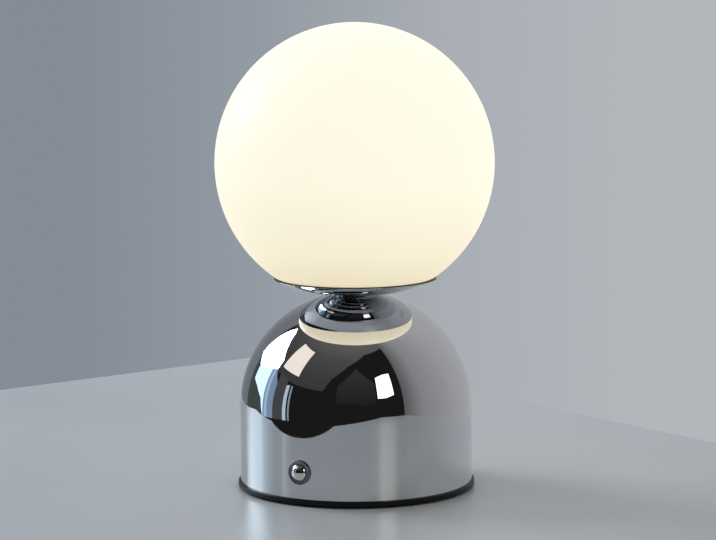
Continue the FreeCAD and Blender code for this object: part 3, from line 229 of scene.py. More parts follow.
def polish(item, chains):
    """Gives a turned mesh with holes in it its profile's exact normals again."""
    mesh = item.data
    starts, ends, first_normals, last_normals, owner = [], [], [], [], []
    for number, chain in enumerate(chains):
        normals = directions(chain)
        starts += chain[:-1]
        ends += chain[1:]
        first_normals += list(normals[:-1])
        last_normals += list(normals[1:])
        owner += [number] * (len(chain) - 1)
    starts, ends = np.array(starts) * MM, np.array(ends) * MM
    first_normals, last_normals = np.array(first_normals), np.array(last_normals)
    owner = np.array(owner)
    runs = ends - starts
    squares = np.maximum((runs ** 2).sum(1), 1e-18)

    def nearest(points, allowed):
        """For (radius, height) points: the nearest run of the profile, the share along it and the distance."""
        best, share = np.zeros(len(points), int), np.zeros(len(points))
        far = np.zeros(len(points))
        for low in range(0, len(points), BATCH):
            some = points[low:low + BATCH]
            along = np.clip(((some[:, None] - starts) * runs).sum(2) / squares, 0, 1)
            gap = np.linalg.norm(some[:, None] - (starts + along[..., None] * runs), axis=2)
            gap = gap + np.where(allowed(low, low + len(some)), 0, 1)
            pick = gap.argmin(1)
            rows = np.arange(len(some))
            best[low:low + BATCH], share[low:low + BATCH] = pick, along[rows, pick]
            far[low:low + BATCH] = gap[rows, pick]
        return best, share, far

    count = len(mesh.polygons)
    centres, faces_out = np.zeros(count * 3), np.zeros(count * 3)
    mesh.polygons.foreach_get("center", centres)
    mesh.polygons.foreach_get("normal", faces_out)
    centres, faces_out = centres.reshape(-1, 3), faces_out.reshape(-1, 3)
    reach = np.maximum(np.linalg.norm(centres[:, :2], axis=1), 1e-9)
    outward = (faces_out[:, :2] * centres[:, :2]).sum(1) / reach
    facing = np.stack([outward, faces_out[:, 2]], axis=1)
    middle = (first_normals + last_normals) / 2

    def agrees(low, high):
        return facing[low:high] @ middle.T > SAME_WAY

    runs_of, _, far = nearest(np.stack([reach, centres[:, 2]], axis=1), agrees)
    matched = far < ON_PROFILE
    totals = np.zeros(count, int)
    mesh.polygons.foreach_get("loop_total", totals)
    face_of_loop = np.repeat(np.arange(count), totals)
    places = np.zeros(len(mesh.vertices) * 3)
    mesh.vertices.foreach_get("co", places)
    vertex_of_loop = np.zeros(len(mesh.loops), int)
    mesh.loops.foreach_get("vertex_index", vertex_of_loop)
    at = places.reshape(-1, 3)[vertex_of_loop]
    radius = np.maximum(np.linalg.norm(at[:, :2], axis=1), 1e-9)
    chain_of_loop = owner[runs_of[face_of_loop]]

    def same_chain(low, high):
        return owner[None, :] == chain_of_loop[low:high, None]

    best, share, _ = nearest(np.stack([radius, at[:, 2]], axis=1), same_chain)
    flat = first_normals[best] * (1 - share[:, None]) + last_normals[best] * share[:, None]
    flat /= np.linalg.norm(flat, axis=1)[:, None]
    turned = np.concatenate([at[:, :2] / radius[:, None] * flat[:, :1], flat[:, 1:]], axis=1)
    result = np.where(matched[face_of_loop][:, None], turned, faces_out[face_of_loop])
    mesh.polygons.foreach_set("use_smooth", [True] * count)
    mesh.normals_split_custom_set(result.tolist())
    mesh.update()


# Materials

def new_material(name):
    item = bpy.data.materials.new(name)
    item.use_nodes = True
    return item, item.node_tree, item.node_tree.nodes["Principled BSDF"]


def add_node(tree, kind, inputs=None, **settings):
    node = tree.nodes.new("ShaderNode" + kind)
    for key, setting in settings.items():
        setattr(node, key, setting)
    for key, source in (inputs or {}).items():
        if isinstance(source, bpy.types.NodeSocket):
            tree.links.new(source, node.inputs[key])
        else:
            node.inputs[key].default_value = source
    return node


def object_space(tree, scale=(1, 1, 1)):
    """Places in the lamp's own frame, in millimetres, stretched by scale."""
    where = add_node(tree, "TexCoord").outputs["Object"]
    return add_node(tree, "Mapping", {"Vector": where, "Scale": [1000 * k for k in scale]}).outputs["Vector"]


def noise(tree, space, scale, detail=4.0, roughness=0.55):
    inputs = {"Vector": space, "Scale": scale, "Detail": detail, "Roughness": roughness}
    return add_node(tree, "TexNoise", inputs).outputs["Fac"]


def spread(tree, source, low, high, to_low, to_high):
    inputs = {"Value": source, "From Min": low, "From Max": high, "To Min": to_low, "To Max": to_high}
    return add_node(tree, "MapRange", inputs).outputs["Result"]


def math_node(tree, operation, first, second):
    node = add_node(tree, "Math", operation=operation)
    for socket, source in zip(node.inputs, (first, second)):
        if isinstance(source, bpy.types.NodeSocket):
            tree.links.new(source, socket)
        else:
            socket.default_value = source
    return node.outputs[0]


def length_of(tree, vector):
    return add_node(tree, "VectorMath", {"Vector": vector}, operation="LENGTH").outputs["Value"]


def ramp(tree, source, *stops):
    """A colour ramp from (place, colour) stops."""
    node = add_node(tree, "ValToRGB", {"Fac": source})
    elements = node.color_ramp.elements
    while len(elements) < len(stops):
        elements.new(0.5)
    for element, (at, colour) in zip(elements, stops):
        element.position, element.color = at, (*colour, 1)
    return node.outputs["Color"]


def bump(tree, shader, height, strength, distance):
    inputs = {"Height": height, "Strength": strength, "Distance": distance}
    tree.links.new(add_node(tree, "Bump", inputs).outputs["Normal"], shader.inputs["Normal"])


def finish_material(name, dark, pale, rough, metallic=0.0, grain=0.4, stretch=(1, 1, 1), relief=0.15,
                    depth=0.00002, mottle=0.05, coat=0.0, gloss=0.5):
    """A finish with a fine grain, a larger mottle in its colour and roughness, and a light relief."""
    item, tree, shader = new_material(name)
    space = object_space(tree, stretch)
    fine = noise(tree, space, grain, 6.0, 0.6)
    broad = noise(tree, object_space(tree), mottle, 3.0)
    mixed = math_node(tree, "ADD", math_node(tree, "MULTIPLY", fine, 0.5),
                      math_node(tree, "MULTIPLY", broad, 0.5))
    tree.links.new(ramp(tree, mixed, (0.35, dark), (0.65, pale)), shader.inputs["Base Color"])
    tree.links.new(spread(tree, mixed, 0.3, 0.7, *rough), shader.inputs["Roughness"])
    shader.inputs["Metallic"].default_value = metallic
    shader.inputs["Specular IOR Level"].default_value = gloss
    if coat:
        shader.inputs["Coat Weight"].default_value = coat
        shader.inputs["Coat Roughness"].default_value = 0.08
    bump(tree, shader, fine, relief, depth)
    return item


def chrome_material():
    """Mirror chrome: faint wiping marks, a few soft smudges and the slight waviness of polished sheet."""
    item, tree, shader = new_material("mirror_chrome")
    shader.inputs["Metallic"].default_value = 1.0
    space = object_space(tree)
    tint = noise(tree, space, 0.06, 4.0)
    tree.links.new(ramp(tree, tint, (0.3, (0.725, 0.73, 0.745)), (0.7, (0.755, 0.76, 0.775))),
                   shader.inputs["Base Color"])
    wiping = noise(tree, object_space(tree, (0.25, 0.25, 2.5)), 0.5, 5.0, 0.7)
    smudges = spread(tree, noise(tree, space, 0.035, 3.0), 0.6, 0.75, 0.0, 0.035)
    haze = spread(tree, wiping, 0.35, 0.75, 0.012, 0.03)
    tree.links.new(math_node(tree, "ADD", haze, smudges), shader.inputs["Roughness"])
    bump(tree, shader, noise(tree, space, 0.03, 2.0), 0.06, 0.0002)
    return item


def glass_material():
    """Opal glass, lit from inside: even and milky, a little yellower and dimmer round its mouth."""
    item, tree, shader = new_material("opal_glass")
    space = object_space(tree)
    height = add_node(tree, "SeparateXYZ", {"Vector": space}).outputs["Z"]
    cloud = noise(tree, space, 0.02, 2.0)
    level = math_node(tree, "ADD", spread(tree, height, 90, 200, 0.0, 1.0),
                      spread(tree, cloud, 0.3, 0.7, -0.015, 0.015))
    glow = ramp(tree, level, (0.0, (0.74, 0.65, 0.44)), (0.14, (0.84, 0.765, 0.57)),
                (0.4, (0.90, 0.86, 0.69)), (1.0, (0.90, 0.865, 0.72)))
    tree.links.new(glow, shader.inputs["Emission Color"])
    shader.inputs["Emission Strength"].default_value = 1.02
    tree.links.new(ramp(tree, cloud, (0.3, (0.27, 0.265, 0.25)), (0.7, (0.31, 0.305, 0.29))),
                   shader.inputs["Base Color"])
    tree.links.new(spread(tree, noise(tree, space, 0.3), 0.3, 0.7, 0.38, 0.46), shader.inputs["Roughness"])
    shader.inputs["Specular IOR Level"].default_value = 0.15
    bump(tree, shader, noise(tree, space, 0.05, 2.0), 0.05, 0.0003)
    return item


def diffuser_material():
    """The opal diffuser over the light board: brighter towards its crown."""
    item, tree, shader = new_material("opal_diffuser")
    space = object_space(tree)
    height = add_node(tree, "SeparateXYZ", {"Vector": space}).outputs["Z"]
    grain = noise(tree, space, 1.2, 3.0)
    level = math_node(tree, "ADD", spread(tree, height, 91, 118, 0.0, 1.0),
                      spread(tree, grain, 0.3, 0.7, -0.03, 0.03))
    glow = ramp(tree, level, (0.0, (0.35, 0.30, 0.22)), (0.3, (0.95, 0.86, 0.68)), (1.0, (1.0, 0.95, 0.84)))
    tree.links.new(glow, shader.inputs["Emission Color"])
    shader.inputs["Emission Strength"].default_value = 1.1
    tree.links.new(ramp(tree, grain, (0.3, (0.78, 0.77, 0.74)), (0.7, (0.85, 0.84, 0.81))),
                   shader.inputs["Base Color"])
    tree.links.new(spread(tree, grain, 0.3, 0.7, 0.35, 0.5), shader.inputs["Roughness"])
    bump(tree, shader, grain, 0.2, 0.00004)
    return item


def board_material(name, dark, pale, copper):
    """A circuit board: solder mask with the faint raised lines of its tracks."""
    item, tree, shader = new_material(name)
    space = object_space(tree)
    tracks = add_node(tree, "TexBrick", {
        "Vector": space, "Scale": 0.22, "Mortar Size": 0.09, "Color1": (0, 0, 0, 1), "Color2": (0, 0, 0, 1),
        "Mortar": (1, 1, 1, 1), "Brick Width": 0.9, "Row Height": 0.55}).outputs["Fac"]
    cloud = noise(tree, space, 0.4)
    mask = ramp(tree, cloud, (0.3, dark), (0.7, pale))
    blend = add_node(tree, "Mix", {"Factor": tracks}, data_type="RGBA")
    tree.links.new(mask, blend.inputs[6])
    blend.inputs[7].default_value = (*copper, 1)
    tree.links.new(blend.outputs[2], shader.inputs["Base Color"])
    tree.links.new(spread(tree, cloud, 0.3, 0.7, 0.3, 0.42), shader.inputs["Roughness"])
    bump(tree, shader, tracks, 0.4, 0.00003)
    return item


def turned_material(name, dark, pale, rough, coat=0.0):
    """Turned metal: fine rings about the lamp's axis."""
    item, tree, shader = new_material(name)
    space = object_space(tree)
    parts = add_node(tree, "SeparateXYZ", {"Vector": space})
    flat = add_node(tree, "CombineXYZ", {"X": parts.outputs["X"], "Y": parts.outputs["Y"]})
    radius = length_of(tree, flat.outputs["Vector"])
    spun = add_node(tree, "CombineXYZ", {"X": radius, "Z": parts.outputs["Z"]}).outputs["Vector"]
    rings = noise(tree, spun, 3.0, 4.0, 0.6)
    tree.links.new(ramp(tree, rings, (0.35, dark), (0.65, pale)), shader.inputs["Base Color"])
    tree.links.new(spread(tree, rings, 0.3, 0.7, *rough), shader.inputs["Roughness"])
    shader.inputs["Metallic"].default_value = 1.0
    if coat:
        shader.inputs["Coat Weight"].default_value = coat
    bump(tree, shader, rings, 0.3, 0.00003)
    return item


def ring_material():
    """The button's dark satin ring, finely turned about the button's own axis."""
    item, tree, shader = new_material("satin_ring")
    where = add_node(tree, "TexCoord").outputs["Object"]
    shifted = add_node(tree, "Mapping", {"Vector": where, "Location": (0, 0, -BUTTON_HEIGHT),
                                         "Scale": (1000, 1000, 1000)}).outputs["Vector"]
    parts = add_node(tree, "SeparateXYZ", {"Vector": shifted})
    flat = add_node(tree, "CombineXYZ", {"X": parts.outputs["X"], "Y": parts.outputs["Z"]})
    radius = length_of(tree, flat.outputs["Vector"])
    spun = add_node(tree, "CombineXYZ", {"X": radius}).outputs["Vector"]
    rings = noise(tree, spun, 6.0, 4.0, 0.6)
    tree.links.new(ramp(tree, rings, (0.35, (0.24, 0.247, 0.268)), (0.65, (0.31, 0.318, 0.34))),
                   shader.inputs["Base Color"])
    tree.links.new(spread(tree, rings, 0.3, 0.7, 0.36, 0.48), shader.inputs["Roughness"])
    shader.inputs["Metallic"].default_value = 1.0
    bump(tree, shader, rings, 0.3, 0.00002)
    return item


MATERIALS = {
    "rubber_foot": finish_material("rubber_foot", (0.012, 0.012, 0.012), (0.028, 0.028, 0.028), (0.65, 0.85),
                                   grain=1.5, relief=0.5, depth=0.00005),
    "black_plate": finish_material("black_plate", (0.005, 0.005, 0.006), (0.010, 0.010, 0.011), (0.34, 0.46),
                                   grain=2.0, relief=0.3, depth=0.00002, gloss=0.25),
    "mirror_chrome": chrome_material(),
    "satin_ring": ring_material(),
    "opal_glass": glass_material(),
    "seat_silicone": finish_material("seat_silicone", (0.010, 0.010, 0.010), (0.022, 0.022, 0.022), (0.55, 0.7),
                                     grain=0.8, relief=0.3),
    "opal_diffuser": diffuser_material(),
    "zinc_steel": finish_material("zinc_steel", (0.42, 0.43, 0.44), (0.66, 0.67, 0.68), (0.25, 0.4),
                                  metallic=1.0, grain=0.9, relief=0.2),
    "ballast_steel": turned_material("ballast_steel", (0.30, 0.30, 0.31), (0.45, 0.45, 0.46), (0.35, 0.5)),
    "sink_aluminium": turned_material("sink_aluminium", (0.62, 0.63, 0.64), (0.80, 0.81, 0.82), (0.28, 0.42)),
    "chassis_plastic": finish_material("chassis_plastic", (0.028, 0.029, 0.031), (0.045, 0.046, 0.05),
                                       (0.45, 0.6), grain=1.6, relief=0.45, depth=0.00005),
    "cell_wrap": finish_material("cell_wrap", (0.02, 0.10, 0.26), (0.03, 0.14, 0.34), (0.28, 0.4),
                                 grain=0.3, relief=0.15, stretch=(0.2, 1, 1)),
    "foam": finish_material("foam", (0.025, 0.025, 0.026), (0.07, 0.07, 0.072), (0.85, 0.95),
                            grain=2.2, relief=0.9, depth=0.0002),
    "board_green": board_material("board_green", (0.008, 0.075, 0.03), (0.012, 0.11, 0.045),
                                  (0.03, 0.17, 0.07)),
    "board_white": board_material("board_white", (0.76, 0.76, 0.74), (0.83, 0.83, 0.81),
                                  (0.70, 0.70, 0.68)),
    "black_parts": finish_material("black_parts", (0.014, 0.014, 0.015), (0.03, 0.03, 0.032), (0.4, 0.55),
                                   grain=2.5, relief=0.3),
    "capacitor_cans": finish_material("capacitor_cans", (0.55, 0.56, 0.57), (0.72, 0.73, 0.74), (0.2, 0.32),
                                      metallic=1.0, grain=0.6, stretch=(2, 2, 0.2)),
    "header_white": finish_material("header_white", (0.70, 0.69, 0.64), (0.78, 0.77, 0.72), (0.4, 0.5),
                                    grain=1.4, relief=0.2),
    "light_chip": finish_material("light_chip", (0.85, 0.62, 0.12), (0.95, 0.75, 0.22), (0.25, 0.4),
                                  grain=1.8, relief=0.2, coat=0.5),
    "clear_pipe": finish_material("clear_pipe", (0.72, 0.74, 0.76), (0.82, 0.84, 0.86), (0.06, 0.14),
                                  grain=0.7, relief=0.1, coat=0.3),
    "lead_sleeve": finish_material("lead_sleeve", (0.02, 0.02, 0.021), (0.05, 0.05, 0.052), (0.4, 0.55),
                                   grain=1.2, relief=0.25),
}


def dress(item, material):
    item.data.materials.clear()
    item.data.materials.append(MATERIALS[material])


def add_piece(item, material, body, *stands_for):
    """Finishes a new piece: its material, the body that carries it and the nodes it stands for."""
    dress(item, material)
    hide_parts(*stands_for)
    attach(item, body)
    return item


# Carried-over CAD nodes take the finish of their own slot.
NODE_FINISH = {
    "black_plate": ["base_plate"],
    "zinc_steel": ["base_screws", "shell_lugs", "chassis_screws", "battery_contacts", "main_board_screws",
                   "charge_board_screws", "usb_shell", "button_washer", "button_nut", "button_clip",
                   "switch_screws", "nipple", "lower_washer", "lower_nut", "upper_washer",
                   "upper_nut", "led_board_screws"],
    "ballast_steel": ["ballast_disc"],
    "chassis_plastic": ["chassis"],
    "cell_wrap": ["battery_cells"],
    "foam": ["battery_foam"],
    "board_green": ["main_board", "charge_board", "switch_board"],
    "black_parts": ["driver_inductor", "driver_chips", "usb_tongue", "port_bezel", "charge_chips",
                    "switch_body", "switch_plunger"],
    "capacitor_cans": ["driver_capacitors"],
    "header_white": ["wire_headers"],
    "clear_pipe": ["indicator_lens", "indicator_led"],
    "sink_aluminium": ["heat_sink"],
    "board_white": ["led_board"],
    "light_chip": ["led_chips"],
    "lead_sleeve": ["led_cable", "battery_leads", "switch_leads", "charge_leads"],
}
for finish_name, members in NODE_FINISH.items():
    for member in members:
        dress(nodes[member], finish_name)


# Foot ring

pad_inner = PAD_OUTER - PAD_WIDTH
add_piece(lathe("foot_ring", [rounded(
    [(pad_inner, 0), (PAD_OUTER, 0), (PAD_OUTER, PAD_THICK), (pad_inner, PAD_THICK)], [0.3, 0.3, 0.1, 0.1])]),
    "rubber_foot", "base", "foot_pad")


# Dome shell

bore = WALL_RADIUS - WALL_THICK
inner_land = LAND_HEIGHT - WALL_THICK
inner_land_radius = math.sqrt(bore ** 2 - (inner_land - DOME_CENTRE) ** 2)
SHELL_EDGE = 0.12
top_angle = math.degrees(math.acos(LAND_RADIUS / WALL_RADIUS))
inner_angle = math.degrees(math.acos(inner_land_radius / bore))
dome_centre = (0, DOME_CENTRE)
shell_chains = [
    arc((WALL_RADIUS - SHELL_EDGE, RIM_HEIGHT + SHELL_EDGE), SHELL_EDGE, -90, 0, 6)
    + arc(dome_centre, WALL_RADIUS, 0, top_angle, 110),
    [(LAND_RADIUS, LAND_HEIGHT), (TUBE_HOLE, LAND_HEIGHT)],
    [(TUBE_HOLE, LAND_HEIGHT), (TUBE_HOLE, inner_land)],
    [(TUBE_HOLE, inner_land), (inner_land_radius, inner_land)],
    arc(dome_centre, bore, inner_angle, 0, 24) + [(bore, RIM_HEIGHT)],
    [(bore, RIM_HEIGHT), (WALL_RADIUS - SHELL_EDGE, RIM_HEIGHT)],
]
shell = lathe("chrome_dome", shell_chains, FINE)
# Holes for the button's barrel, the charging port and the indicator light. Cutters run from near to far.
BARREL_HOLE, PORT_WIDE, PORT_TALL, LIGHT_HOLE, LIGHT_ASIDE = 4.15, 11.34, 5.66, 1.15, 9.5
CUT_NEAR, CUT_FAR = 30, 60
cut_holes(shell, [
    rod_along_y(BARREL_HOLE, -CUT_FAR, -CUT_NEAR, 0, BUTTON_HEIGHT),
    slot_along_y(PORT_WIDE, PORT_TALL, CUT_NEAR, CUT_FAR, PORT_HEIGHT),
    rod_along_y(LIGHT_HOLE, CUT_NEAR, CUT_FAR, LIGHT_ASIDE, PORT_HEIGHT, 32),
])
polish(shell, shell_chains)
add_piece(shell, "mirror_chrome", "base", "dome_shell")


# Neck collar and saucer

NECK_EDGE = 0.2
add_piece(lathe("neck_ring", [rounded(
    [(TUBE_HOLE, LAND_HEIGHT), (NECK_RADIUS, LAND_HEIGHT), (NECK_RADIUS, SAUCER_BOTTOM),
     (TUBE_HOLE, SAUCER_BOTTOM)],
    [0.05, NECK_EDGE, NECK_EDGE, 0.05])]), "mirror_chrome", "base", "neck_collar")

saucer_run = SAUCER_RADIUS - SAUCER_FLAT
saucer_curve = (saucer_run ** 2 + SAUCER_DEPTH ** 2) / (2 * SAUCER_DEPTH)
saucer_centre = (SAUCER_FLAT, SAUCER_BOTTOM + saucer_curve)
saucer_top = SAUCER_BOTTOM + SAUCER_DEPTH + SAUCER_LIP
inner_curve = saucer_curve - SAUCER_SHEET
inner_edge = SAUCER_FLAT + math.sqrt(inner_curve ** 2 - (saucer_centre[1] - saucer_top) ** 2)
edge_angle = math.degrees(math.asin(saucer_run / saucer_curve))
inner_edge_angle = math.degrees(math.asin((inner_edge - SAUCER_FLAT) / inner_curve))
LIP_ROUND, LIP_INSET, LIP_DROP = 0.08, 0.03, 0.12
saucer_chains = [
    [(TUBE_HOLE, SAUCER_BOTTOM), (SAUCER_FLAT - 0.01, SAUCER_BOTTOM)]
    + arc(saucer_centre, saucer_curve, -90, edge_angle - 90, 56)[:-1]
    + [(SAUCER_RADIUS - LIP_INSET, saucer_top - LIP_DROP)],
    arc((SAUCER_RADIUS - LIP_ROUND, saucer_top - LIP_ROUND), LIP_ROUND, -8, 90, 6)
    + [(inner_edge, saucer_top)],
    arc(saucer_centre, inner_curve, inner_edge_angle - 90, -90, 40)
    + [(TUBE_HOLE, SAUCER_BOTTOM + SAUCER_SHEET)],
    [(TUBE_HOLE, SAUCER_BOTTOM + SAUCER_SHEET), (TUBE_HOLE, SAUCER_BOTTOM)],
]
add_piece(lathe("chrome_saucer", saucer_chains, FINE), "mirror_chrome", "base", "saucer")


# Globe

glass_bore = GLOBE_RADIUS - GLASS_WALL
globe_centre = (0, GLOBE_CENTRE)
drop = GLOBE_CENTRE - MOUTH_HEIGHT
mouth_bore = math.sqrt(glass_bore ** 2 - drop ** 2)
outer_start = -math.degrees(math.asin(drop / GLOBE_RADIUS)) + 1.2
inner_start = -math.degrees(math.asin(drop / glass_bore)) + 1.0
outer_first = arc(globe_centre, GLOBE_RADIUS, outer_start, 90, 150)
inner_last = arc(globe_centre, glass_bore, 90, inner_start, 90)
# The mouth is ground flat between these insets, and its two edges are eased by steps (outwards, up).
FLAT_INNER, FLAT_OUTER = 1.3, 0.9
OUTER_EASE, INNER_EASE = ((-0.35, 0.09), (0.12, 0.36)), ((0.32, 0.42), (0.7, 0.11))
mouth_flat = [(mouth_bore + FLAT_INNER, MOUTH_HEIGHT), (MOUTH_RADIUS - FLAT_OUTER, MOUTH_HEIGHT)]
outer_blend = [(MOUTH_RADIUS + out, MOUTH_HEIGHT + up) for out, up in OUTER_EASE]
inner_blend = [(mouth_bore + out, MOUTH_HEIGHT + up) for out, up in INNER_EASE]
globe_chain = [inner_last[-1]] + inner_blend + mouth_flat + outer_blend + outer_first
add_piece(lathe("opal_globe", [globe_chain, inner_last], FINE), "opal_glass", "globe", "glass_globe")


# Seat ring and diffuser

SEAT_GAP, SEAT_RISE, SEAT_ROUND, SEAT_RUNS = 0.05, 2.6, 0.5, 8
seat_curve = inner_curve - SEAT_GAP
seat_inner, seat_outer, gasket = 27.6, MOUTH_RADIUS - 1.2, SAUCER_RADIUS - 0.15
gasket_bottom, seat_top = saucer_top + SEAT_GAP, MOUTH_HEIGHT + SEAT_RISE


def on_saucer(radius):
    """The height just above the saucer's inner face."""
    return saucer_centre[1] - math.sqrt(seat_curve ** 2 - (radius - SAUCER_FLAT) ** 2)


seat_lip = mouth_bore - 0.4
seat_radii = [seat_inner + (seat_outer - seat_inner) * k / SEAT_RUNS for k in range(SEAT_RUNS + 1)]
add_piece(lathe("seat_ring", [
    [(radius, on_saucer(radius)) for radius in seat_radii],
    [(seat_outer, on_saucer(seat_outer)), (seat_outer, gasket_bottom)],
    [(seat_outer, gasket_bottom), (gasket, gasket_bottom)],
    [(gasket, gasket_bottom), (gasket, MOUTH_HEIGHT)],
    [(gasket, MOUTH_HEIGHT), (seat_lip, MOUTH_HEIGHT)],
    [(seat_lip, MOUTH_HEIGHT), (seat_lip, seat_top - SEAT_ROUND)]
    + arc((seat_lip - SEAT_ROUND, seat_top - SEAT_ROUND), SEAT_ROUND, 15, 90, 5) + [(seat_inner, seat_top)],
    [(seat_inner, seat_top), (seat_inner, on_saucer(seat_inner))],
], MIDDLE), "seat_silicone", "base", "globe_seat")

diffuser_bore, diffuser_wall = 24.15, 1.5
diffuser_radius = diffuser_bore + diffuser_wall
SINK_RISE, SHOULDER_RISE, SKIRT_DROP = 9.6, 3.0, 4.2
sink_top = SAUCER_BOTTOM + SAUCER_SHEET + SINK_RISE
shoulder, rise, skirt = sink_top + SHOULDER_RISE, 19.0, sink_top - SKIRT_DROP
outer_curve = (diffuser_radius ** 2 + rise ** 2) / (2 * rise)
inner_rise = rise - diffuser_wall
inner_dome = (diffuser_bore ** 2 + inner_rise ** 2) / (2 * inner_rise)
outer_angle = math.degrees(math.acos(diffuser_radius / outer_curve))
inner_dome_angle = math.degrees(math.acos(diffuser_bore / inner_dome))
add_piece(lathe("opal_diffuser", [
    rounded([(diffuser_bore, skirt), (diffuser_radius, skirt), (diffuser_radius, skirt + 2)], [0, 0.3, 0])[:-1],
    [(diffuser_radius, skirt + 2), (diffuser_radius, shoulder)],
    arc((0, shoulder + rise - outer_curve), outer_curve, outer_angle, 90, 48),
    arc((0, shoulder + inner_rise - inner_dome), inner_dome, 90, inner_dome_angle, 32),
    [(diffuser_bore, shoulder), (diffuser_bore, skirt)],
], MIDDLE), "opal_diffuser", "base", "diffuser")


# Button: a dished satin ring with a polished cap in it, both turned about an axis that points to -Y

FRONT = Matrix.Translation((0, 0, BUTTON_HEIGHT * MM)) @ Matrix.Rotation(math.pi / 2, 4, "X")
ring_radius, barrel_radius, barrel_end, cap_bore, stem_bore, web = 5.2, 4.0, 43.5, 3.45, 1.56, 1.4
ring_back = 49.9
ring_chain = rounded([
    (stem_bore, barrel_end), (barrel_radius, barrel_end), (barrel_radius, ring_back), (ring_radius, ring_back),
    (ring_radius, RING_FACE), (cap_bore, RING_FACE - 0.3), (cap_bore, barrel_end + web),
    (stem_bore, barrel_end + web)], [0.05, 0.1, 0, 0, 0.3, 0.15, 0.05, 0.05])
satin = lathe("satin_ring", [ring_chain], RING_STEPS, FRONT)
for point in satin.data.vertices:
    if abs(point.co.y + ring_back * MM) < 1e-6:
        point.co.y = -math.sqrt((WALL_RADIUS + 0.05) ** 2 - (point.co.x / MM) ** 2) * MM
add_piece(satin, "satin_ring", "base", "button_bezel")

cap_radius, cap_back, crown_rise = 3.35, RING_FACE - 3.1, 1.5
crown_edge = RING_FACE + 0.25
crown_curve = (cap_radius ** 2 + crown_rise ** 2) / (2 * crown_rise)
crown_angle = math.degrees(math.acos(cap_radius / crown_curve))
stem_radius, groove = 1.5, 1.15
groove_front = barrel_end - 0.05
groove_back = groove_front - 0.6
stem_end = groove_back - 0.9
add_piece(lathe("polished_cap", [
    [(0, stem_end), (stem_radius, stem_end)], [(stem_radius, stem_end), (stem_radius, groove_back)],
    [(stem_radius, groove_back), (groove, groove_back)], [(groove, groove_back), (groove, groove_front)],
    [(groove, groove_front), (stem_radius, groove_front)],
    [(stem_radius, groove_front), (stem_radius, cap_back)],
    [(stem_radius, cap_back), (cap_radius, cap_back)], [(cap_radius, cap_back), (cap_radius, crown_edge)],
    arc((0, crown_edge + crown_rise - crown_curve), crown_curve, crown_angle, 90, 32),
], CAP_STEPS, FRONT), "mirror_chrome", "button", "button_cap")

# The return spring, built at rest between the barrel's web and the back of the cap, with a mesh of its own; the
# real one flattens as the cap goes in.
spring_end = 0.3
spring_back, spring_front = barrel_end + web + spring_end, cap_back - spring_end
spring_radius, spring_wire, spring_turns = 2.375, 0.4, 3
coil_piece = coil("return_coil", spring_radius, spring_wire, spring_back, spring_front, spring_turns, FRONT)
spring = add_piece(coil_piece, "zinc_steel", "base", "button_spring")
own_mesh(spring)


# Stage: a pale table top, a pale surround with painted light that only the camera sees, and soft lights that
# the chrome mirrors and the camera doesn't see. All of it is placed in the frame that faces the camera.

TURN = Matrix.Rotation(CAMERA_TURN, 4, "Z")
# Reach of the room's lights and of its windows, and the height of the point they stand around, in metres.
LIGHT_REACH, WINDOW_REACH, ROOM_CENTRE = 2.6, 2.55, 0.05


def plain_material(name, dark, pale, rough):
    item, tree, shader = new_material(name)
    cloud = noise(tree, object_space(tree), 0.01, 3.0)
    tree.links.new(ramp(tree, cloud, (0.3, dark), (0.7, pale)), shader.inputs["Base Color"])
    shader.inputs["Roughness"].default_value = rough
    return item


def glowing_material(name, colour, strength=1.0):
    """An even glow, or one that changes across the frame: (axis, start, end, first, ..., last colour).

    The axis is X, Y or Z in metres, or "round" for the azimuth in degrees.
    """
    item, tree, shader = new_material(name)
    shader.inputs["Base Color"].default_value = (0, 0, 0, 1)
    shader.inputs["Specular IOR Level"].default_value = 0.0
    shader.inputs["Emission Strength"].default_value = strength
    if isinstance(colour[0], str):
        axis, start, end, *colours = colour
        where = add_node(tree, "TexCoord").outputs["Object"]
        turned = add_node(tree, "VectorRotate", {"Vector": where, "Angle": -CAMERA_TURN},
                          rotation_type="Z_AXIS")
        parts = add_node(tree, "SeparateXYZ", {"Vector": turned.outputs["Vector"]})
        stops = [(k / (len(colours) - 1), shade) for k, shade in enumerate(colours)]
        if axis == "round":
            away = math_node(tree, "MULTIPLY", parts.outputs["Y"], -1.0)
            place = math_node(tree, "DEGREES", math_node(tree, "ARCTAN2", parts.outputs["X"], away), 0.0)
        else:
            place = parts.outputs[axis]
        share = spread(tree, place, start, end, 0.0, 1.0)
        tree.links.new(ramp(tree, share, *stops), shader.inputs["Emission Color"])
    else:
        shader.inputs["Emission Color"].default_value = (*colour, 1)
    return item


def stage_piece(name, points, faces, material):
    mesh = bpy.data.meshes.new(name)
    mesh.from_pydata([TURN @ Vector(point) for point in points], [], faces)
    mesh.materials.append(material)
    item = place_piece(name, mesh)
    return item


def far_point(azimuth, height, reach=LIGHT_REACH):
    """A point of the room: azimuth from the camera's side towards the right, and height, in degrees."""
    turn, lift = math.radians(azimuth), math.radians(height)
    return (reach * math.sin(turn) * math.cos(lift), -reach * math.cos(turn) * math.cos(lift),
            ROOM_CENTRE + reach * math.sin(lift))


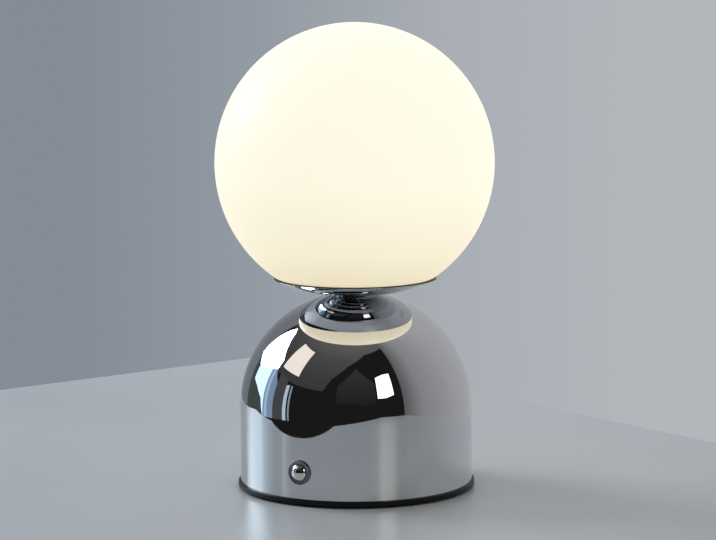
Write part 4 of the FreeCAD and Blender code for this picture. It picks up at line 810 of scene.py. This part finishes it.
def room_light(name, columns, colour, strength=1.0, reach=LIGHT_REACH, rows=4, pitch=5.0):
    """A soft light of the room, from columns (azimuth, lowest, highest) in degrees."""
    fine = [columns[0]]
    for before, after in zip(columns, columns[1:]):
        count = max(1, round(abs(after[0] - before[0]) / pitch))
        fine += [tuple(a + (b - a) * k / count for a, b in zip(before, after)) for k in range(1, count + 1)]
    points = [far_point(azimuth, low + (high - low) * row / rows, reach)
              for azimuth, low, high in fine for row in range(rows + 1)]
    faces = [(k * (rows + 1) + row, (k + 1) * (rows + 1) + row, (k + 1) * (rows + 1) + row + 1,
              k * (rows + 1) + row + 1) for k in range(len(fine) - 1) for row in range(rows)]
    item = stage_piece(name, points, faces, glowing_material(name, colour, strength))
    item.visible_camera = False
    return item


# The table is a slab with its far corner behind the lamp.
far_corner, along, across = Vector((-0.038, 0.364)), Vector((0.6, -0.8)), Vector((-0.783, -0.622))
TABLE_WIDE, TABLE_LONG, TABLE_THICK = 0.385, 1.2, 0.025
rim = [far_corner, far_corner + across * TABLE_WIDE, far_corner + across * TABLE_WIDE + along * TABLE_LONG,
       far_corner + along * TABLE_LONG]
slab = [(x, y, z) for z in (-TABLE_THICK, 0) for x, y in rim]
stage_piece("table_top", slab, [(0, 3, 2, 1), (4, 5, 6, 7)] + [
    (k, (k + 1) % 4, 4 + (k + 1) % 4, 4 + k) for k in range(4)],
    plain_material("table_top", (0.668, 0.698, 0.724), (0.708, 0.738, 0.764), 0.29))

room_light("ceiling", [(-180, 75, 90), (-150, 52, 90), (-134, 40, 90), (-122, 36, 90), (-110, 30, 90),
                       (-98, 23, 90), (-67, 21, 90), (-48, 21, 90), (-35, 21, 90), (-28, 33, 90), (-11, 47, 90),
                       (14, 59, 90), (48, 62, 90), (49, 75, 90), (180, 75, 90)],
           ("Z", 1.0, 2.65, (0.052, 0.052, 0.052), (0.062, 0.061, 0.06), (0.085, 0.083, 0.081),
            (0.16, 0.155, 0.15)))
room_light("window_top", [(-137, 15, 18), (-133, 14, 33), (-129, 13, 43), (-122, 15, 43), (-110, 19, 38),
                          (-98, 24, 31)], (0.9, 1.0, 1.1), 6.0, WINDOW_REACH)
room_light("window_low", [(-128, 6, 13), (-119, 5, 16), (-109, 1, 19), (-105, -9, 21)], (0.8, 1.15, 1.4), 1.3,
           WINDOW_REACH)
room_light("window_bar", [(-105, -9, 21), (-102, -9, 23)], (0.30, 0.40, 0.52), 1.0, WINDOW_REACH)
room_light("window_slit", [(-102, -9, 23), (-98.5, -9, 24)], (0.44, 0.59, 0.76), 1.0, WINDOW_REACH)
room_light("window_bars", [(-98.5, -9, 24), (-90, -9, 16)], (0.22, 0.33, 0.47), 1.0, WINDOW_REACH)
room_light("pillar", [(-90, -9, 24.5), (-77, -9, 22)], (0.07, 0.073, 0.075), 1.0, WINDOW_REACH)
room_light("window_second", [(-77, -9, 18), (-73, -9, 19)], (0.55, 0.64, 0.78), 1.0, WINDOW_REACH)
room_light("window_third", [(-71, -9, 19), (-69, -9, 19)], (0.28, 0.33, 0.42), 1.0, WINDOW_REACH)
room_light("plants", [(-136, -25, 15), (-129, -25, 12), (-119, -25, 8), (-109, -25, 4), (-104, -25, -8)],
           (0.065, 0.08, 0.08))
room_light("lamp_left", [(-93, 28, 51), (-67, 28, 52)], (1.15, 1.02, 0.90), 1.0, WINDOW_REACH)
room_light("lamp_right", [(22, 15, 35), (31, 15, 37), (39, 17, 37)], (1.4, 1.33, 1.15), 1.7, WINDOW_REACH)
room_light("inner_wall", [(-20, 11, 27), (0, 10, 45), (20, 9, 30)], ("Z", 0.5, 1.8, (0.018,) * 3, (0.038,) * 3))
room_light("wall_right", [(48, -25, 62), (49, -25, 75), (180, -25, 75)],
           ("round", 48, 180, *((k, k * 1.01, k * 1.04) for k in (0.12, 0.29, 0.34, 0.40, 0.43, 0.45, 0.46))))
room_light("wall_left", [(-180, -25, 75), (-150, -25, 52), (-136, -25, 43)],
           ("round", -180, -136, *((k, k * 1.06, k * 1.17) for k in (0.45, 0.26, 0.19, 0.19))))
fill = room_light("fill", [(-180, 40, 89), (180, 40, 89)], (0.95, 1.0, 1.06), 0.458, 1.9)
fill.visible_glossy = False

# The surround: painted light, a glow that grows paler towards the right of the frame.
SIDES, SURROUND_REACH = 12, 3.4
heights = (-70, -40, -15, 15, 40, 70)
last_row = (len(heights) - 1) * SIDES
surround_points = [far_point(360 / SIDES * k, height, SURROUND_REACH)
                   for height in heights for k in range(SIDES)]
surround_faces = [(row + k, row + (k + 1) % SIDES, row + SIDES + (k + 1) % SIDES, row + SIDES + k)
                  for row in range(0, last_row, SIDES) for k in range(SIDES)]
surround_faces += [list(range(SIDES)), list(range(last_row, last_row + SIDES))]
surround = stage_piece("surround", surround_points, surround_faces,
                       glowing_material("surround", ("X", -0.45, 0.45, (0.23, 0.265, 0.31), (0.29, 0.325, 0.37),
                                                     (0.40, 0.425, 0.46), (0.45, 0.475, 0.505))))
for ray in ("glossy", "diffuse", "transmission", "shadow"):
    setattr(surround, "visible_" + ray, False)

world = bpy.data.worlds.new("studio")
bpy.context.scene.world = world
world.use_nodes = True
world.node_tree.nodes["Background"].inputs["Color"].default_value = (0.012, 0.012, 0.0125, 1)


# Camera

camera_data = bpy.data.cameras.new("camera")
camera = bpy.data.objects.new("camera", camera_data)
bpy.context.scene.collection.objects.link(camera)
camera_data.sensor_width = SENSOR_WIDTH
camera_data.lens = FOCAL_PIXELS / FRAME_WIDTH * SENSOR_WIDTH
camera_data.clip_start, camera_data.clip_end = 0.05, 50
camera.matrix_world = (
    TURN @ Matrix.Translation((0, -CAMERA_DISTANCE, CAMERA_HEIGHT)) @ Matrix.Rotation(-CAMERA_YAW, 4, "Z")
    @ Matrix.Rotation(math.pi / 2 - CAMERA_PITCH, 4, "X") @ Matrix.Rotation(-CAMERA_ROLL, 4, "Z"))
bpy.context.scene.camera = camera
# The dome and the saucer's underside mirror each other many times over.
BOUNCES = 24
bpy.context.scene.cycles.glossy_bounces = bpy.context.scene.cycles.max_bounces = BOUNCES
bpy.context.scene.view_settings.view_transform = "Standard"
